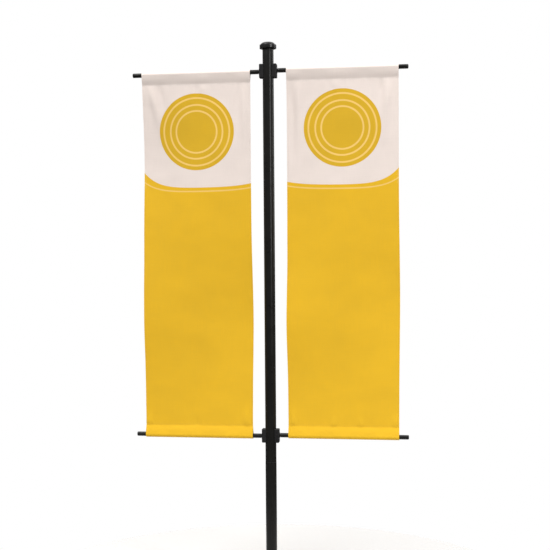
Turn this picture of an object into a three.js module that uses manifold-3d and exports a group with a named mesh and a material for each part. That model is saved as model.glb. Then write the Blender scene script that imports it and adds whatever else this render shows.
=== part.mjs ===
// Double pole banner: a two-part round mast on a bolt-down base, with a domed cap, and two pairs of
// side arms that carry two cloth banners by their rod pockets.
// Millimetres, +Z up. The origin is on the ground at the mast's axis. The banners hang in the XZ
// plane, one on each side of the mast, and -Y is the front.

import * as THREE from "three";
import { mergeVertices } from "three/addons/utils/BufferGeometryUtils.js";
import ManifoldModule from "manifold-3d";

const wasm = await ManifoldModule();
wasm.setup();

// ---------------------------------------------------------------- driving dimensions

const SEAT = 0.3; // what two solids that rest on each other leave between them

// Banners
const BANNER_WIDTH = 600;
const BANNER_DROP = 2000; // finished height, over both rod pockets
const BANNER_GAP = 48; // from a saddle's pad to the cloth's inner edge
const CLOTH = 1.2; // hemmed cloth, as a plain solid
const POCKET_DEPTH = 60; // from the cloth's end to the pocket's seam
const POCKET_FIT = 0.4; // between the cloth and the arm that it hangs on

// Arms: tubes that slide over a saddle's spigot
const ARM_D = 24;
const ARM_WALL = 2;
const ARM_REVEAL = 4; // spigot left bare between the pad and the tube
const ARM_PAST_CLOTH = 52; // from the cloth's outer edge to the tip of the end cap
const SPIGOT_FIT = 0.3; // radial, spigot or stem inside an arm tube
const SPIGOT_LENGTH = 90; // from the pad
const END_CAP_HEAD = 6;
const END_CAP_STEM = 20;
const ARM_SCREW_D = 6;
const ARM_SCREW_LENGTH = 5;
const ARM_SCREW_IN = 22; // from the tube's inner end to its lock screw
const ARM_SCREW_SINK = 0.1; // below the tube's outside, so that the cloth slides past it
const KEYWAY_FIT = 0.5; // each side, the lock screw in the spigot's keyway

// Saddles: one casting, used on both sides of the mast and turned half round
const SADDLE_WALL = 17.75; // from the pole's side to the casting's outer face
const SADDLE_DEPTH = 40; // front to back
const SADDLE_ROUND = 5; // its rounded outer corners
const SADDLE_STAGGER = 2.5; // spigot above the casting's middle
const PAD_RIM = 5; // pad past the arm tube, all round
const PAD_HEIGHT = 2.5;

// The bolts that clamp a pair of saddles through the pole
const HUB_BOLT_D = 8;
const HUB_HEAD_D = 13;
const HUB_HEAD_HEIGHT = 8;
const HUB_SINK_DEPTH = 10; // counterbore for the head or the nut
const HUB_SINK_FIT = 0.5; // radial, head in its counterbore
const HUB_SINK_EDGE = 3.5; // casting left past a counterbore
const HUB_SINK_TO_PAD = 1;
const HUB_SOCKET = 6; // across flats
const HUB_NUT_SLOT = 2; // wide and deep

// Mast
const UPPER_POLE_D = 59.5;
const UPPER_POLE_WALL = 3;
const LOWER_POLE_STEP = 0.8; // the lower pole's diameter over the upper pole's
const POLE_PAST_ARMS = 119; // from the top arms to the top of the pole
const JOINT_BELOW_ARMS = 144; // from the bottom arms to the joint of the two poles
const ARM_HEIGHT = 865; // from the ground to the bottom arms
const JOINT_RING = 2; // thickness of the ring between the poles
const JOINT_FIT = 0.3; // radial, spigot in both poles
const JOINT_SPIGOT_WALL = 4;
const JOINT_SPIGOT_TO_BOLT = 12; // left below the lowest hub bolt
const JOINT_SCREW_D = 8;
const JOINT_SCREW_LENGTH = 6;
const JOINT_SCREW_FROM_END = 50; // from a pole's end to its screws
const JOINT_SCREW_ANGLE = 35; // to either side of straight back

// Cap
const CAP_OVERHANG = 15.25; // past the pole's side
const CAP_HEIGHT = 36;
const CAP_LIP_HEIGHT = 20.5;
const CAP_LIP_WIDTH = 5.5;
const CAP_GROOVE = 1.5; // between the lip and the dome's foot
const CAP_WALL = 4;
const CAP_SQUARENESS = 2.5; // 2 is an ellipse; more is flatter on top and steeper at the foot
const CAP_BOSS_D = 22;
const INSERT_LENGTH = 34;
const INSERT_FIN = 3;
const INSERT_FINS = 3;
const INSERT_FIT = 0.35; // radial, fins in the pole
const CAP_SCREW_D = 8;
const CAP_SCREW_HEAD_D = 13;
const CAP_SCREW_HEAD = 5;
const CAP_SCREW_REACH = 0.6; // of the cap's height that its screw hole takes
const CAP_SCREW_END_GAP = 2; // from the screw's end to the hole's
const CAP_SOCKET = 4.8; // across flats
const CAP_SOCKET_DEPTH = 2;

// Base
const PLATE_SIZE = 400;
const PLATE_THICKNESS = 12;
const PLATE_CORNER = 30;
const ANCHOR_HOLE_D = 18;
const ANCHOR_INSET = 40; // from the plate's edges to an anchor hole
const SLEEVE_HEIGHT = 180;
const SLEEVE_WALL = 4.5;
const SLEEVE_FIT = 0.35; // radial, lower pole in the sleeve
const GUSSET_THICKNESS = 6;
const GUSSET_LENGTH = 110;
const GUSSET_HEIGHT = 120;
const GUSSET_TOE = 12;
const GUSSET_CLIP = 10; // the corner left open for the weld
const BASE_BOLT_D = 10;
const BASE_BOLT_HEAD_AF = 17;
const BASE_BOLT_HEAD = 6.4;
const BASE_BOLT_SHOWS = 5; // shank between the boss and the head
const BASE_BOLT_RISE = 140; // above the plate
const BASE_BOSS_D = 20;
const BASE_BOSS_HEIGHT = 8;

const THREAD_FIT = 0.4; // radial, a screw in its hole
const SOCKET_SHARE = 0.5; // a socket's width across flats over its screw's diameter
const CUT_PAST = 1; // how far a cutting tool runs past the face that it opens

// Facets round a full turn
const ROUND_LARGE = 32;
const ROUND_MEDIUM = 24;
const ROUND_SMALL = 12;
const ROUND_CORNER = 4; // in a quarter turn
const DOME_STEPS = 7;

// ---------------------------------------------------------------- places worked out from them

const armR = ARM_D / 2;
const armBoreR = armR - ARM_WALL;
const spigotR = armBoreR - SPIGOT_FIT;
const padR = armR + PAD_RIM;

const upperPoleR = UPPER_POLE_D / 2;
const poleBoreR = upperPoleR - UPPER_POLE_WALL;
const lowerPoleR = upperPoleR + LOWER_POLE_STEP / 2;
const jointSpigotR = poleBoreR - JOINT_FIT;

const saddleFace = upperPoleR + SADDLE_WALL;
const padFace = saddleFace + PAD_HEIGHT;
const hubSinkR = HUB_HEAD_D / 2 + HUB_SINK_FIT;
const hubBoltRise = padR + SADDLE_STAGGER + HUB_SINK_TO_PAD + hubSinkR;
const saddleHeight = 2 * (hubBoltRise + hubSinkR + HUB_SINK_EDGE);

const armStart = padFace + ARM_REVEAL;
const clothInner = padFace + BANNER_GAP;
const armTip = clothInner + BANNER_WIDTH + ARM_PAST_CLOTH;
const armEnd = armTip - END_CAP_HEAD - SEAT;
const armScrewX = armStart + ARM_SCREW_IN;
const armScrewTip = armR - ARM_SCREW_SINK - ARM_SCREW_LENGTH;

const pocketOuterR = armR + POCKET_FIT + CLOTH;
const armSpacing = BANNER_DROP - 2 * pocketOuterR;
const topArmHeight = ARM_HEIGHT + armSpacing;
const poleTop = topArmHeight + POLE_PAST_ARMS;
const jointHeight = ARM_HEIGHT - JOINT_BELOW_ARMS;
const jointSpigotReach = JOINT_BELOW_ARMS - hubBoltRise - HUB_BOLT_D / 2 - JOINT_SPIGOT_TO_BOLT;
const sleeveR = lowerPoleR + SLEEVE_FIT + SLEEVE_WALL;

const HUBS = { bottom: ARM_HEIGHT, top: topArmHeight };
const SIDES = { left: -1, right: 1 };

// ---------------------------------------------------------------- materials

const finish = (color, roughness, metalness = 0) =>
  new THREE.MeshStandardMaterial({ color, roughness, metalness });

const FINISHES = {
  poleBlack: () => finish(0x1d1d1c, 0.38, 0.3),
  castBlack: () => finish(0x2a2a2c, 0.6, 0.3),
  plastic: () => finish(0x18181a, 0.5),
  steel: () => finish(0x8d8f92, 0.35, 0.9),
  cloth: () => finish(0xe6b42d, 0.85),
};

// ---------------------------------------------------------------- solids

/** The geometry with its shared corners merged and its empty triangles left out. */
function closed(geometry) {
  const bare = geometry.clone();
  bare.deleteAttribute("normal");
  bare.deleteAttribute("uv");
  const merged = mergeVertices(bare, 1e-5);
  const kept = [];
  for (let i = 0; i < merged.index.count; i += 3) {
    const [a, b, c] = [0, 1, 2].map((k) => merged.index.getX(i + k));
    if (a !== b && b !== c && c !== a) kept.push(a, b, c);
  }
  merged.setIndex(kept);
  return merged;
}

/** A manifold solid of a closed geometry, for cuts and joins. */
function solid(geometry) {
  const merged = closed(geometry);
  return new wasm.Manifold(
    new wasm.Mesh({
      numProp: 3,
      vertProperties: new Float32Array(merged.attributes.position.array),
      triVerts: new Uint32Array(merged.index.array),
    }),
  );
}

/** The faces of a manifold solid as a three.js geometry. */
function faces(manifold) {
  const mesh = manifold.getMesh();
  const geometry = new THREE.BufferGeometry();
  geometry.setAttribute("position", new THREE.BufferAttribute(new Float32Array(mesh.vertProperties), 3));
  geometry.setIndex(Array.from(mesh.triVerts));
  geometry.computeVertexNormals();
  return geometry;
}

/** body with every geometry of holes cut out of it. */
function cut(body, holes) {
  return faces(holes.reduce((left, hole) => left.subtract(solid(hole)), solid(body)));
}

/** All the geometries joined into one. */
function join(first, ...rest) {
  return faces(rest.reduce((sum, piece) => sum.add(solid(piece)), solid(first)));
}

const toZ = (geometry) => geometry.rotateX(Math.PI / 2);
const toX = (geometry) => geometry.rotateZ(-Math.PI / 2);

/** A solid of revolution from [radius, height] pairs, standing along Y from its own zero. */
function turned(profile, facets) {
  return new THREE.LatheGeometry(profile.map(([r, y]) => new THREE.Vector2(r, y)), facets);
}

/** A plain or chamfered rod along Y, from 0 to length. */
function rod(radius, length, facets, chamfer = 0) {
  const tip = chamfer ? [[radius - chamfer, length]] : [];
  return turned([[0, 0], [radius, 0], [radius, length - chamfer], ...tip, [0, length]], facets);
}

/** A tube along Y, from 0 to length. */
function tube(outer, inner, length, facets) {
  return turned([[inner, 0], [outer, 0], [outer, length], [inner, length], [inner, 0]], facets);
}

/** A six-sided rod along Y, given its width across flats. */
function hexagon(acrossFlats, length) {
  return new THREE.CylinderGeometry(acrossFlats / Math.sqrt(3), acrossFlats / Math.sqrt(3), length, 6)
    .translate(0, length / 2, 0);
}

/** A headless screw along Y with its point at 0 and a hexagonal socket in its outer end. */
function grubScrew(diameter, length) {
  const across = diameter * SOCKET_SHARE;
  return cut(rod(diameter / 2, length, ROUND_SMALL, diameter / 12), [
    hexagon(across, length).translate(0, length / 2, 0),
  ]);
}

/** An outline extruded along Z and centred on it, with so many steps in each of its arcs. */
function slab(shape, thickness, steps = ROUND_CORNER) {
  return new THREE.ExtrudeGeometry(shape, {
    depth: thickness, bevelEnabled: false, curveSegments: steps / 2,
  }).translate(0, 0, -thickness / 2);
}

// ---------------------------------------------------------------- banner

/** The cloth's end view: a sheet with a rod pocket at each end, pockets round arms at +-armSpacing / 2. */
function bannerOutline() {
  const innerR = pocketOuterR - CLOTH;
  const seamBelowArm = POCKET_DEPTH - pocketOuterR;
  const lean = Math.acos(pocketOuterR / seamBelowArm); // of the tangents that close the pocket
  const half = armSpacing / 2;
  const joinDrop = seamBelowArm - CLOTH / 2 / Math.tan(Math.PI / 2 - lean);
  const turnFrom = -Math.PI / 2 + lean;
  const turnTo = Math.PI * 1.5 - lean;

  const shape = new THREE.Shape();
  shape.absarc(0, half, pocketOuterR, turnFrom, turnTo, false);
  shape.lineTo(-CLOTH / 2, half - joinDrop);
  shape.lineTo(-CLOTH / 2, joinDrop - half);
  shape.absarc(0, -half, pocketOuterR, turnFrom + Math.PI, turnTo + Math.PI, false);
  shape.lineTo(CLOTH / 2, joinDrop - half);
  shape.lineTo(CLOTH / 2, half - joinDrop);
  shape.closePath();

  for (const end of [1, -1]) {
    const hole = new THREE.Path();
    const flip = end === 1 ? 0 : Math.PI;
    hole.absarc(0, end * half, innerR, turnFrom + flip, turnTo + flip, false);
    hole.lineTo(0, end * (half - innerR / Math.cos(lean)));
    hole.closePath();
    shape.holes.push(hole);
  }
  return shape;
}

function bannerGeometry() {
  const cloth = new THREE.ExtrudeGeometry(bannerOutline(), {
    depth: BANNER_WIDTH, bevelEnabled: false, curveSegments: ROUND_MEDIUM / 2,
  });
  // the outline's x and y become the banner's depth (Y) and height (Z); the extrusion runs along X
  const turn = new THREE.Matrix4().makeBasis(
    new THREE.Vector3(0, 1, 0), new THREE.Vector3(0, 0, 1), new THREE.Vector3(1, 0, 0),
  );
  return closed(cloth.applyMatrix4(turn).translate(clothInner, 0, 0));
}

// ---------------------------------------------------------------- saddle, its bolts and its arm

/** A rectangle from x0 to x1 and +-halfY whose two corners at x1 are rounded. */
function roundEndedBlock(x0, x1, halfY, radius) {
  const shape = new THREE.Shape();
  shape.absarc(x1 - radius, -halfY + radius, radius, -Math.PI / 2, 0, false);
  shape.absarc(x1 - radius, halfY - radius, radius, 0, Math.PI / 2, false);
  shape.lineTo(x0, halfY);
  shape.lineTo(x0, -halfY);
  shape.closePath();
  return shape;
}

/** The keyway along the back of the right-hand spigot, which the lock screw's tip runs out through. */
function keywayGeometry() {
  const halfWidth = ARM_SCREW_D / 2 + KEYWAY_FIT;
  const end = padFace + SPIGOT_LENGTH + CUT_PAST;
  const depth = spigotR + CUT_PAST - (armScrewTip - SEAT);
  const shape = new THREE.Shape();
  shape.absarc(armScrewX, 0, halfWidth, Math.PI / 2, Math.PI * 1.5, false);
  shape.lineTo(end, -halfWidth);
  shape.lineTo(end, halfWidth);
  shape.closePath();
  return slab(shape, depth, ROUND_SMALL)
    .rotateX(Math.PI / 2)
    .translate(0, armScrewTip - SEAT + depth / 2, SADDLE_STAGGER);
}

/** The right-hand casting, with its hub's middle at the origin. */
function saddleGeometry() {
  const halfHeight = saddleHeight / 2;
  const innerEnd = upperPoleR / 2;
  const plan = slab(roundEndedBlock(innerEnd, saddleFace, SADDLE_DEPTH / 2, SADDLE_ROUND), saddleHeight);
  const side = slab(roundEndedBlock(innerEnd, saddleFace, halfHeight, SADDLE_ROUND), SADDLE_DEPTH)
    .rotateX(Math.PI / 2);
  const block = faces(solid(plan).intersect(solid(side)));

  const pad = toX(rod(padR, PAD_HEIGHT + SADDLE_ROUND, ROUND_MEDIUM))
    .translate(saddleFace - SADDLE_ROUND, 0, SADDLE_STAGGER);
  const spigot = toX(rod(spigotR, SPIGOT_LENGTH + SADDLE_ROUND, ROUND_MEDIUM, spigotR / 5))
    .translate(padFace - SADDLE_ROUND, 0, SADDLE_STAGGER);
  const body = join(block, pad, spigot);

  const bore = toZ(rod(upperPoleR + SEAT, saddleHeight * 2, ROUND_LARGE)).translate(0, 0, -saddleHeight);
  const boltHoles = [hubBoltRise, -hubBoltRise].flatMap((z) => [
    toX(rod(HUB_BOLT_D / 2 + THREAD_FIT, saddleFace * 2, ROUND_SMALL)).translate(0, 0, z),
    toX(rod(hubSinkR, HUB_SINK_DEPTH + PAD_HEIGHT, ROUND_MEDIUM))
      .translate(saddleFace - HUB_SINK_DEPTH, 0, z),
  ]);
  return cut(body, [bore, keywayGeometry(), ...boltHoles]);
}

const hubHeadSeat = saddleFace - HUB_SINK_DEPTH + SEAT;

/** A bolt along X with its socket head in the right-hand saddle and its end in the left-hand nut. */
function hubBoltGeometry() {
  const tip = hubHeadSeat + HUB_HEAD_HEIGHT - CUT_PAST;
  const shank = toX(rod(HUB_BOLT_D / 2, tip + hubHeadSeat + CUT_PAST, ROUND_SMALL)).translate(-tip, 0, 0);
  const head = toX(rod(HUB_HEAD_D / 2, HUB_HEAD_HEIGHT, ROUND_MEDIUM, HUB_HEAD_D / 13)).translate(hubHeadSeat, 0, 0);
  const socket = toX(hexagon(HUB_SOCKET, HUB_HEAD_HEIGHT))
    .translate(hubHeadSeat + HUB_HEAD_HEIGHT / 2, 0, 0);
  return cut(join(shank, head), [socket]);
}

/** The round slotted nut on that bolt, in the left-hand saddle. */
function hubNutGeometry() {
  const ring = tube(HUB_HEAD_D / 2, HUB_BOLT_D / 2 + THREAD_FIT, HUB_HEAD_HEIGHT, ROUND_MEDIUM);
  const slot = new THREE.BoxGeometry(HUB_HEAD_D + CUT_PAST, 2 * HUB_NUT_SLOT, HUB_NUT_SLOT)
    .translate(0, HUB_HEAD_HEIGHT, 0);
  return toX(cut(ring, [slot])).rotateY(Math.PI).translate(-hubHeadSeat, 0, 0);
}

/** The arm's tube, with the hole for its lock screw at the back. */
function armGeometry() {
  const bar = toX(tube(armR, armBoreR, armEnd - armStart, ROUND_MEDIUM)).translate(armStart, 0, 0);
  const hole = rod(ARM_SCREW_D / 2 + THREAD_FIT, ARM_D, ROUND_SMALL).translate(armScrewX, 0, 0);
  return cut(bar, [hole]);
}

function armScrewGeometry() {
  return grubScrew(ARM_SCREW_D, ARM_SCREW_LENGTH).translate(armScrewX, armScrewTip, 0);
}

/** A plug for the arm's open end: a stem inside the tube and a low dome outside it. */
function endCapGeometry() {
  const dome = Array.from({ length: ROUND_CORNER }, (_, i) => {
    const turn = (i / ROUND_CORNER) * (Math.PI / 2);
    return [armR * Math.cos(turn), END_CAP_HEAD * Math.sin(turn)];
  });
  const stemR = armBoreR - SPIGOT_FIT;
  const profile = [
    [0, -END_CAP_STEM], [stemR - 1, -END_CAP_STEM], [stemR, 1 - END_CAP_STEM], [stemR, 0],
    ...dome, [0, END_CAP_HEAD],
  ];
  return closed(toX(turned(profile, ROUND_MEDIUM)).translate(armTip - END_CAP_HEAD, 0, 0));
}

// ---------------------------------------------------------------- mast

/** A hole or screw that points away from the mast's axis, turned by an angle from straight back. */
function outwards(geometry, degreesFromBack, height) {
  return geometry.rotateZ(-THREE.MathUtils.degToRad(degreesFromBack)).translate(0, 0, height);
}

const JOINT_SCREW_ANGLES = [-JOINT_SCREW_ANGLE, JOINT_SCREW_ANGLE];
const jointScrewHole = () => rod(JOINT_SCREW_D / 2 + THREAD_FIT, lowerPoleR + CUT_PAST, ROUND_SMALL);

function upperPoleGeometry() {
  const bottom = jointHeight + JOINT_RING / 2 + SEAT;
  const bar = toZ(tube(upperPoleR, poleBoreR, poleTop - bottom, ROUND_LARGE)).translate(0, 0, bottom);
  const boltHoles = Object.values(HUBS).flatMap((z) => [z - hubBoltRise, z + hubBoltRise]).map((z) =>
    toX(rod(HUB_BOLT_D / 2 + THREAD_FIT, UPPER_POLE_D * 2, ROUND_SMALL)).translate(-UPPER_POLE_D, 0, z));
  const screwHoles = JOINT_SCREW_ANGLES.map((angle) =>
    outwards(jointScrewHole(), angle, jointHeight + JOINT_SCREW_FROM_END));
  return cut(bar, [...boltHoles, ...screwHoles]);
}

function lowerPoleGeometry() {
  const bottom = PLATE_THICKNESS + SEAT;
  const top = jointHeight - JOINT_RING / 2 - SEAT;
  const bar = toZ(tube(lowerPoleR, poleBoreR, top - bottom, ROUND_LARGE)).translate(0, 0, bottom);
  return cut(bar, JOINT_SCREW_ANGLES.map((angle) =>
    outwards(jointScrewHole(), angle, jointHeight - JOINT_SCREW_FROM_END)));
}

/** A headless screw that bears on the joint's spigot. */
function jointScrewGeometry(angle, height) {
  return outwards(
    grubScrew(JOINT_SCREW_D, JOINT_SCREW_LENGTH).translate(0, jointSpigotR + SEAT, 0), angle, height,
  );
}

function jointSpigotGeometry() {
  return closed(toZ(tube(
    jointSpigotR, jointSpigotR - JOINT_SPIGOT_WALL, 2 * jointSpigotReach, ROUND_LARGE,
  )).translate(0, 0, jointHeight - jointSpigotReach));
}

function jointRingGeometry() {
  return closed(toZ(tube(lowerPoleR, poleBoreR, JOINT_RING, ROUND_LARGE))
    .translate(0, 0, jointHeight - JOINT_RING / 2));
}

// ---------------------------------------------------------------- cap

/** A dome's outline as [radius, height], from its foot to its crown on the axis. */
function domeCurve(footR, foot, crown, steps) {
  return Array.from({ length: steps + 1 }, (_, i) => {
    const turn = (i / steps) * (Math.PI / 2);
    const share = 2 / CAP_SQUARENESS;
    return [
      footR * Math.cos(turn) ** share * (i < steps ? 1 : 0),
      foot + (crown - foot) * Math.sin(turn) ** share,
    ];
  });
}

/** The cast cap: a lip that covers the pole's end, a dome inside the lip and a boss for its screw. */
function capGeometry() {
  const lipR = upperPoleR + CAP_OVERHANG;
  const footR = lipR - CAP_LIP_WIDTH;
  const lipRound = CAP_LIP_WIDTH / 4;
  const bossR = CAP_BOSS_D / 2;
  const hollowR = poleBoreR - 1;
  const outside = [
    [bossR, 0], [bossR, CAP_HEIGHT / 2],
    ...domeCurve(hollowR, CAP_WALL, CAP_HEIGHT - CAP_WALL, DOME_STEPS)
      .filter(([r]) => r > bossR).reverse()
      .map(([r, z]) => [r, Math.max(z, CAP_HEIGHT / 2)]),
    [hollowR, CAP_WALL], [hollowR, 0],
    [lipR - lipRound, 0], [lipR, lipRound], [lipR, CAP_LIP_HEIGHT - lipRound],
    [lipR - lipRound, CAP_LIP_HEIGHT], [footR + CAP_GROOVE, CAP_LIP_HEIGHT],
    [footR, CAP_LIP_HEIGHT - CAP_GROOVE],
    ...domeCurve(footR, CAP_LIP_HEIGHT - CAP_GROOVE, CAP_HEIGHT, DOME_STEPS).slice(1),
  ];
  const screwHole = toZ(rod(
    CAP_SCREW_D / 2 + THREAD_FIT, CAP_HEIGHT * CAP_SCREW_REACH + CUT_PAST, ROUND_SMALL,
  )).translate(0, 0, -CUT_PAST);
  const body = toZ(turned([[0, 0], ...outside], ROUND_LARGE));
  return cut(body, [screwHole]).translate(0, 0, poleTop + SEAT);
}

/** The finned plug below the cap that grips inside the pole. */
function insertGeometry() {
  const coreR = poleBoreR / 2;
  const finR = poleBoreR - INSERT_FIT;
  const boreR = CAP_SCREW_D / 2 + THREAD_FIT;
  const pitch = (INSERT_LENGTH - INSERT_FIN) / (INSERT_FINS - 1);
  const fins = Array.from({ length: INSERT_FINS }, (_, i) => {
    const top = -i * pitch;
    const core = i < INSERT_FINS - 1 ? [[coreR, top - INSERT_FIN], [coreR, top - pitch]] : [];
    return [[finR - 1, top], [finR, top - INSERT_FIN], ...core];
  }).flat();
  const profile = [[boreR, 0], ...fins, [boreR, -INSERT_LENGTH], [boreR, 0]];
  return closed(toZ(turned(profile.reverse(), ROUND_LARGE)).translate(0, 0, poleTop));
}

/** The screw that holds the plug to the cap, put in from below. */
function capScrewGeometry() {
  const headR = CAP_SCREW_HEAD_D / 2;
  const length = INSERT_LENGTH + CAP_HEIGHT * CAP_SCREW_REACH - CAP_SCREW_END_GAP;
  const screw = turned([
    [0, -CAP_SCREW_HEAD], [headR, -CAP_SCREW_HEAD], [headR, 0], [CAP_SCREW_D / 2, 0],
    [CAP_SCREW_D / 2, length], [0, length],
  ], ROUND_SMALL);
  const socket = hexagon(CAP_SOCKET, CAP_SOCKET_DEPTH + CUT_PAST).translate(0, -CAP_SCREW_HEAD - CUT_PAST, 0);
  return toZ(cut(screw, [socket])).translate(0, 0, poleTop - INSERT_LENGTH - SEAT);
}

// ---------------------------------------------------------------- base

function plateGeometry() {
  const half = PLATE_SIZE / 2;
  const corner = half - PLATE_CORNER;
  const shape = new THREE.Shape();
  [[1, 1], [-1, 1], [-1, -1], [1, -1]].forEach(([x, y], i) => {
    shape.absarc(x * corner, y * corner, PLATE_CORNER, (i * Math.PI) / 2, ((i + 1) * Math.PI) / 2, false);
  });
  shape.closePath();
  const anchor = half - ANCHOR_INSET;
  for (const [x, y] of [[1, 1], [-1, 1], [-1, -1], [1, -1]]) {
    const hole = new THREE.Path();
    hole.absarc(x * anchor, y * anchor, ANCHOR_HOLE_D / 2, 0, Math.PI * 2, true);
    shape.holes.push(hole);
  }
  return closed(slab(shape, PLATE_THICKNESS, ROUND_SMALL).translate(0, 0, PLATE_THICKNESS / 2));
}

const QUARTERS = [0, 90, 180, 270];
const boltHeight = PLATE_THICKNESS + BASE_BOLT_RISE;
const bossFace = sleeveR + BASE_BOSS_HEIGHT;

/** The upright sleeve that holds the lower pole, with a threaded boss at each clamp bolt. */
function sleeveGeometry() {
  const bottom = PLATE_THICKNESS + SEAT;
  const wall = toZ(tube(sleeveR, lowerPoleR + SLEEVE_FIT, SLEEVE_HEIGHT, ROUND_LARGE))
    .translate(0, 0, bottom);
  const bosses = QUARTERS.map((angle) => outwards(
    rod(BASE_BOSS_D / 2, BASE_BOSS_HEIGHT + SLEEVE_WALL / 2, ROUND_MEDIUM)
      .translate(0, sleeveR - SLEEVE_WALL / 2, 0),
    angle + 45, boltHeight,
  ));
  const holes = QUARTERS.map((angle) =>
    outwards(rod(BASE_BOLT_D / 2 + THREAD_FIT, bossFace + CUT_PAST, ROUND_SMALL), angle + 45, boltHeight));
  return cut(join(wall, ...bosses), holes);
}

/** A hexagon-headed bolt that bears on the lower pole. */
function baseBoltGeometry(angle) {
  const start = lowerPoleR + SEAT;
  const shank = bossFace + BASE_BOLT_SHOWS - start;
  const bolt = join(
    rod(BASE_BOLT_D / 2, shank + CUT_PAST, ROUND_SMALL),
    hexagon(BASE_BOLT_HEAD_AF, BASE_BOLT_HEAD).translate(0, shank, 0),
  );
  return outwards(bolt.translate(0, start, 0), angle + 45, boltHeight);
}

/** A triangular rib along +X between the plate and the sleeve, turned to its quarter. */
function gussetGeometry(angle) {
  const shape = new THREE.Shape([
    [GUSSET_CLIP, 0], [GUSSET_LENGTH, 0], [GUSSET_LENGTH, GUSSET_TOE], [GUSSET_TOE, GUSSET_HEIGHT],
    [0, GUSSET_HEIGHT], [0, GUSSET_CLIP],
  ].map(([x, z]) => new THREE.Vector2(x, z)));
  return closed(slab(shape, GUSSET_THICKNESS).rotateX(Math.PI / 2)
    .translate(sleeveR + SEAT, 0, PLATE_THICKNESS + SEAT)
    .rotateZ(THREE.MathUtils.degToRad(angle)));
}

// ---------------------------------------------------------------- assembly

const assembly = new THREE.Group();

/** A named mesh, added to a group. */
function piece(group, name, geometry, material) {
  const mesh = new THREE.Mesh(geometry, material);
  mesh.name = name;
  group.add(mesh);
}

function addBase() {
  piece(assembly, "base_plate", plateGeometry(), FINISHES.poleBlack());
  piece(assembly, "base_sleeve", sleeveGeometry(), FINISHES.poleBlack());
  QUARTERS.forEach((angle, i) => {
    piece(assembly, `base_gusset_${i + 1}`, gussetGeometry(angle), FINISHES.poleBlack());
    piece(assembly, `base_clamp_bolt_${i + 1}`, baseBoltGeometry(angle), FINISHES.steel());
  });
}

function addMast() {
  piece(assembly, "lower_pole", lowerPoleGeometry(), FINISHES.poleBlack());
  piece(assembly, "pole_joint_spigot", jointSpigotGeometry(), FINISHES.steel());
  piece(assembly, "pole_joint_ring", jointRingGeometry(), FINISHES.plastic());
  piece(assembly, "upper_pole", upperPoleGeometry(), FINISHES.poleBlack());
  JOINT_SCREW_ANGLES.forEach((angle, i) => {
    const low = jointScrewGeometry(angle, jointHeight - JOINT_SCREW_FROM_END);
    const high = jointScrewGeometry(angle, jointHeight + JOINT_SCREW_FROM_END);
    piece(assembly, `spigot_screw_${i + 1}`, low, FINISHES.steel());
    piece(assembly, `pole_lock_screw_${i + 1}`, high, FINISHES.steel());
  });
}

function addCap() {
  piece(assembly, "cap_dome", capGeometry(), FINISHES.castBlack());
  piece(assembly, "cap_insert", insertGeometry(), FINISHES.plastic());
  piece(assembly, "cap_screw", capScrewGeometry(), FINISHES.steel());
}

/** One arm with its saddle, end cap and lock screw, on either side of the mast. */
function addArm(level, side) {
  const where = `${level}_${side}`;
  const hub = new THREE.Group();
  hub.position.z = HUBS[level];
  if (SIDES[side] < 0) hub.rotation.y = Math.PI;
  const arm = new THREE.Group();
  arm.position.z = SADDLE_STAGGER;
  hub.add(arm);
  piece(hub, `saddle_${where}`, saddleGeometry(), FINISHES.castBlack());
  piece(arm, `arm_${where}`, armGeometry(), FINISHES.poleBlack());
  piece(arm, `arm_end_cap_${where}`, endCapGeometry(), FINISHES.plastic());
  piece(arm, `arm_lock_screw_${where}`, armScrewGeometry(), FINISHES.steel());
  assembly.add(hub);
}

/** The two bolts and nuts that clamp a pair of saddles. */
function addHubBolts(level) {
  for (const [place, rise] of Object.entries({ upper: hubBoltRise, lower: -hubBoltRise })) {
    const height = HUBS[level] + rise;
    const bolt = hubBoltGeometry().translate(0, 0, height);
    const nut = hubNutGeometry().translate(0, 0, height);
    piece(assembly, `hub_bolt_${level}_${place}`, bolt, FINISHES.steel());
    piece(assembly, `hub_nut_${level}_${place}`, nut, FINISHES.steel());
  }
}

/** A banner on a pair of arms. The left one hangs lower by twice the stagger, as its arms do. */
function addBanner(side) {
  const middle = ARM_HEIGHT + armSpacing / 2;
  const hanger = new THREE.Group();
  hanger.position.z = middle + SIDES[side] * SADDLE_STAGGER;
  if (SIDES[side] < 0) hanger.rotation.y = Math.PI;
  piece(hanger, `banner_${side}`, bannerGeometry(), FINISHES.cloth());
  assembly.add(hanger);
}

addBase();
addMast();
addCap();
for (const level of Object.keys(HUBS)) {
  for (const side of Object.keys(SIDES)) addArm(level, side);
  addHubBolts(level);
}
for (const side of Object.keys(SIDES)) addBanner(side);

export default assembly;
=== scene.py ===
"""A double pole banner: a round black mast with four side arms that carry two long cloth banners.

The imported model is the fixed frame. Every piece made here rides one of its bodies and stands for its
nodes. All lengths are in metres, with +Z up the mast, +X along the right-hand arms and -Y the front.
"""

import logging
import math
from dataclasses import dataclass
from enum import Enum

import bmesh
import bpy
import numpy as np
from mathutils import Matrix, Vector


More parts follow.
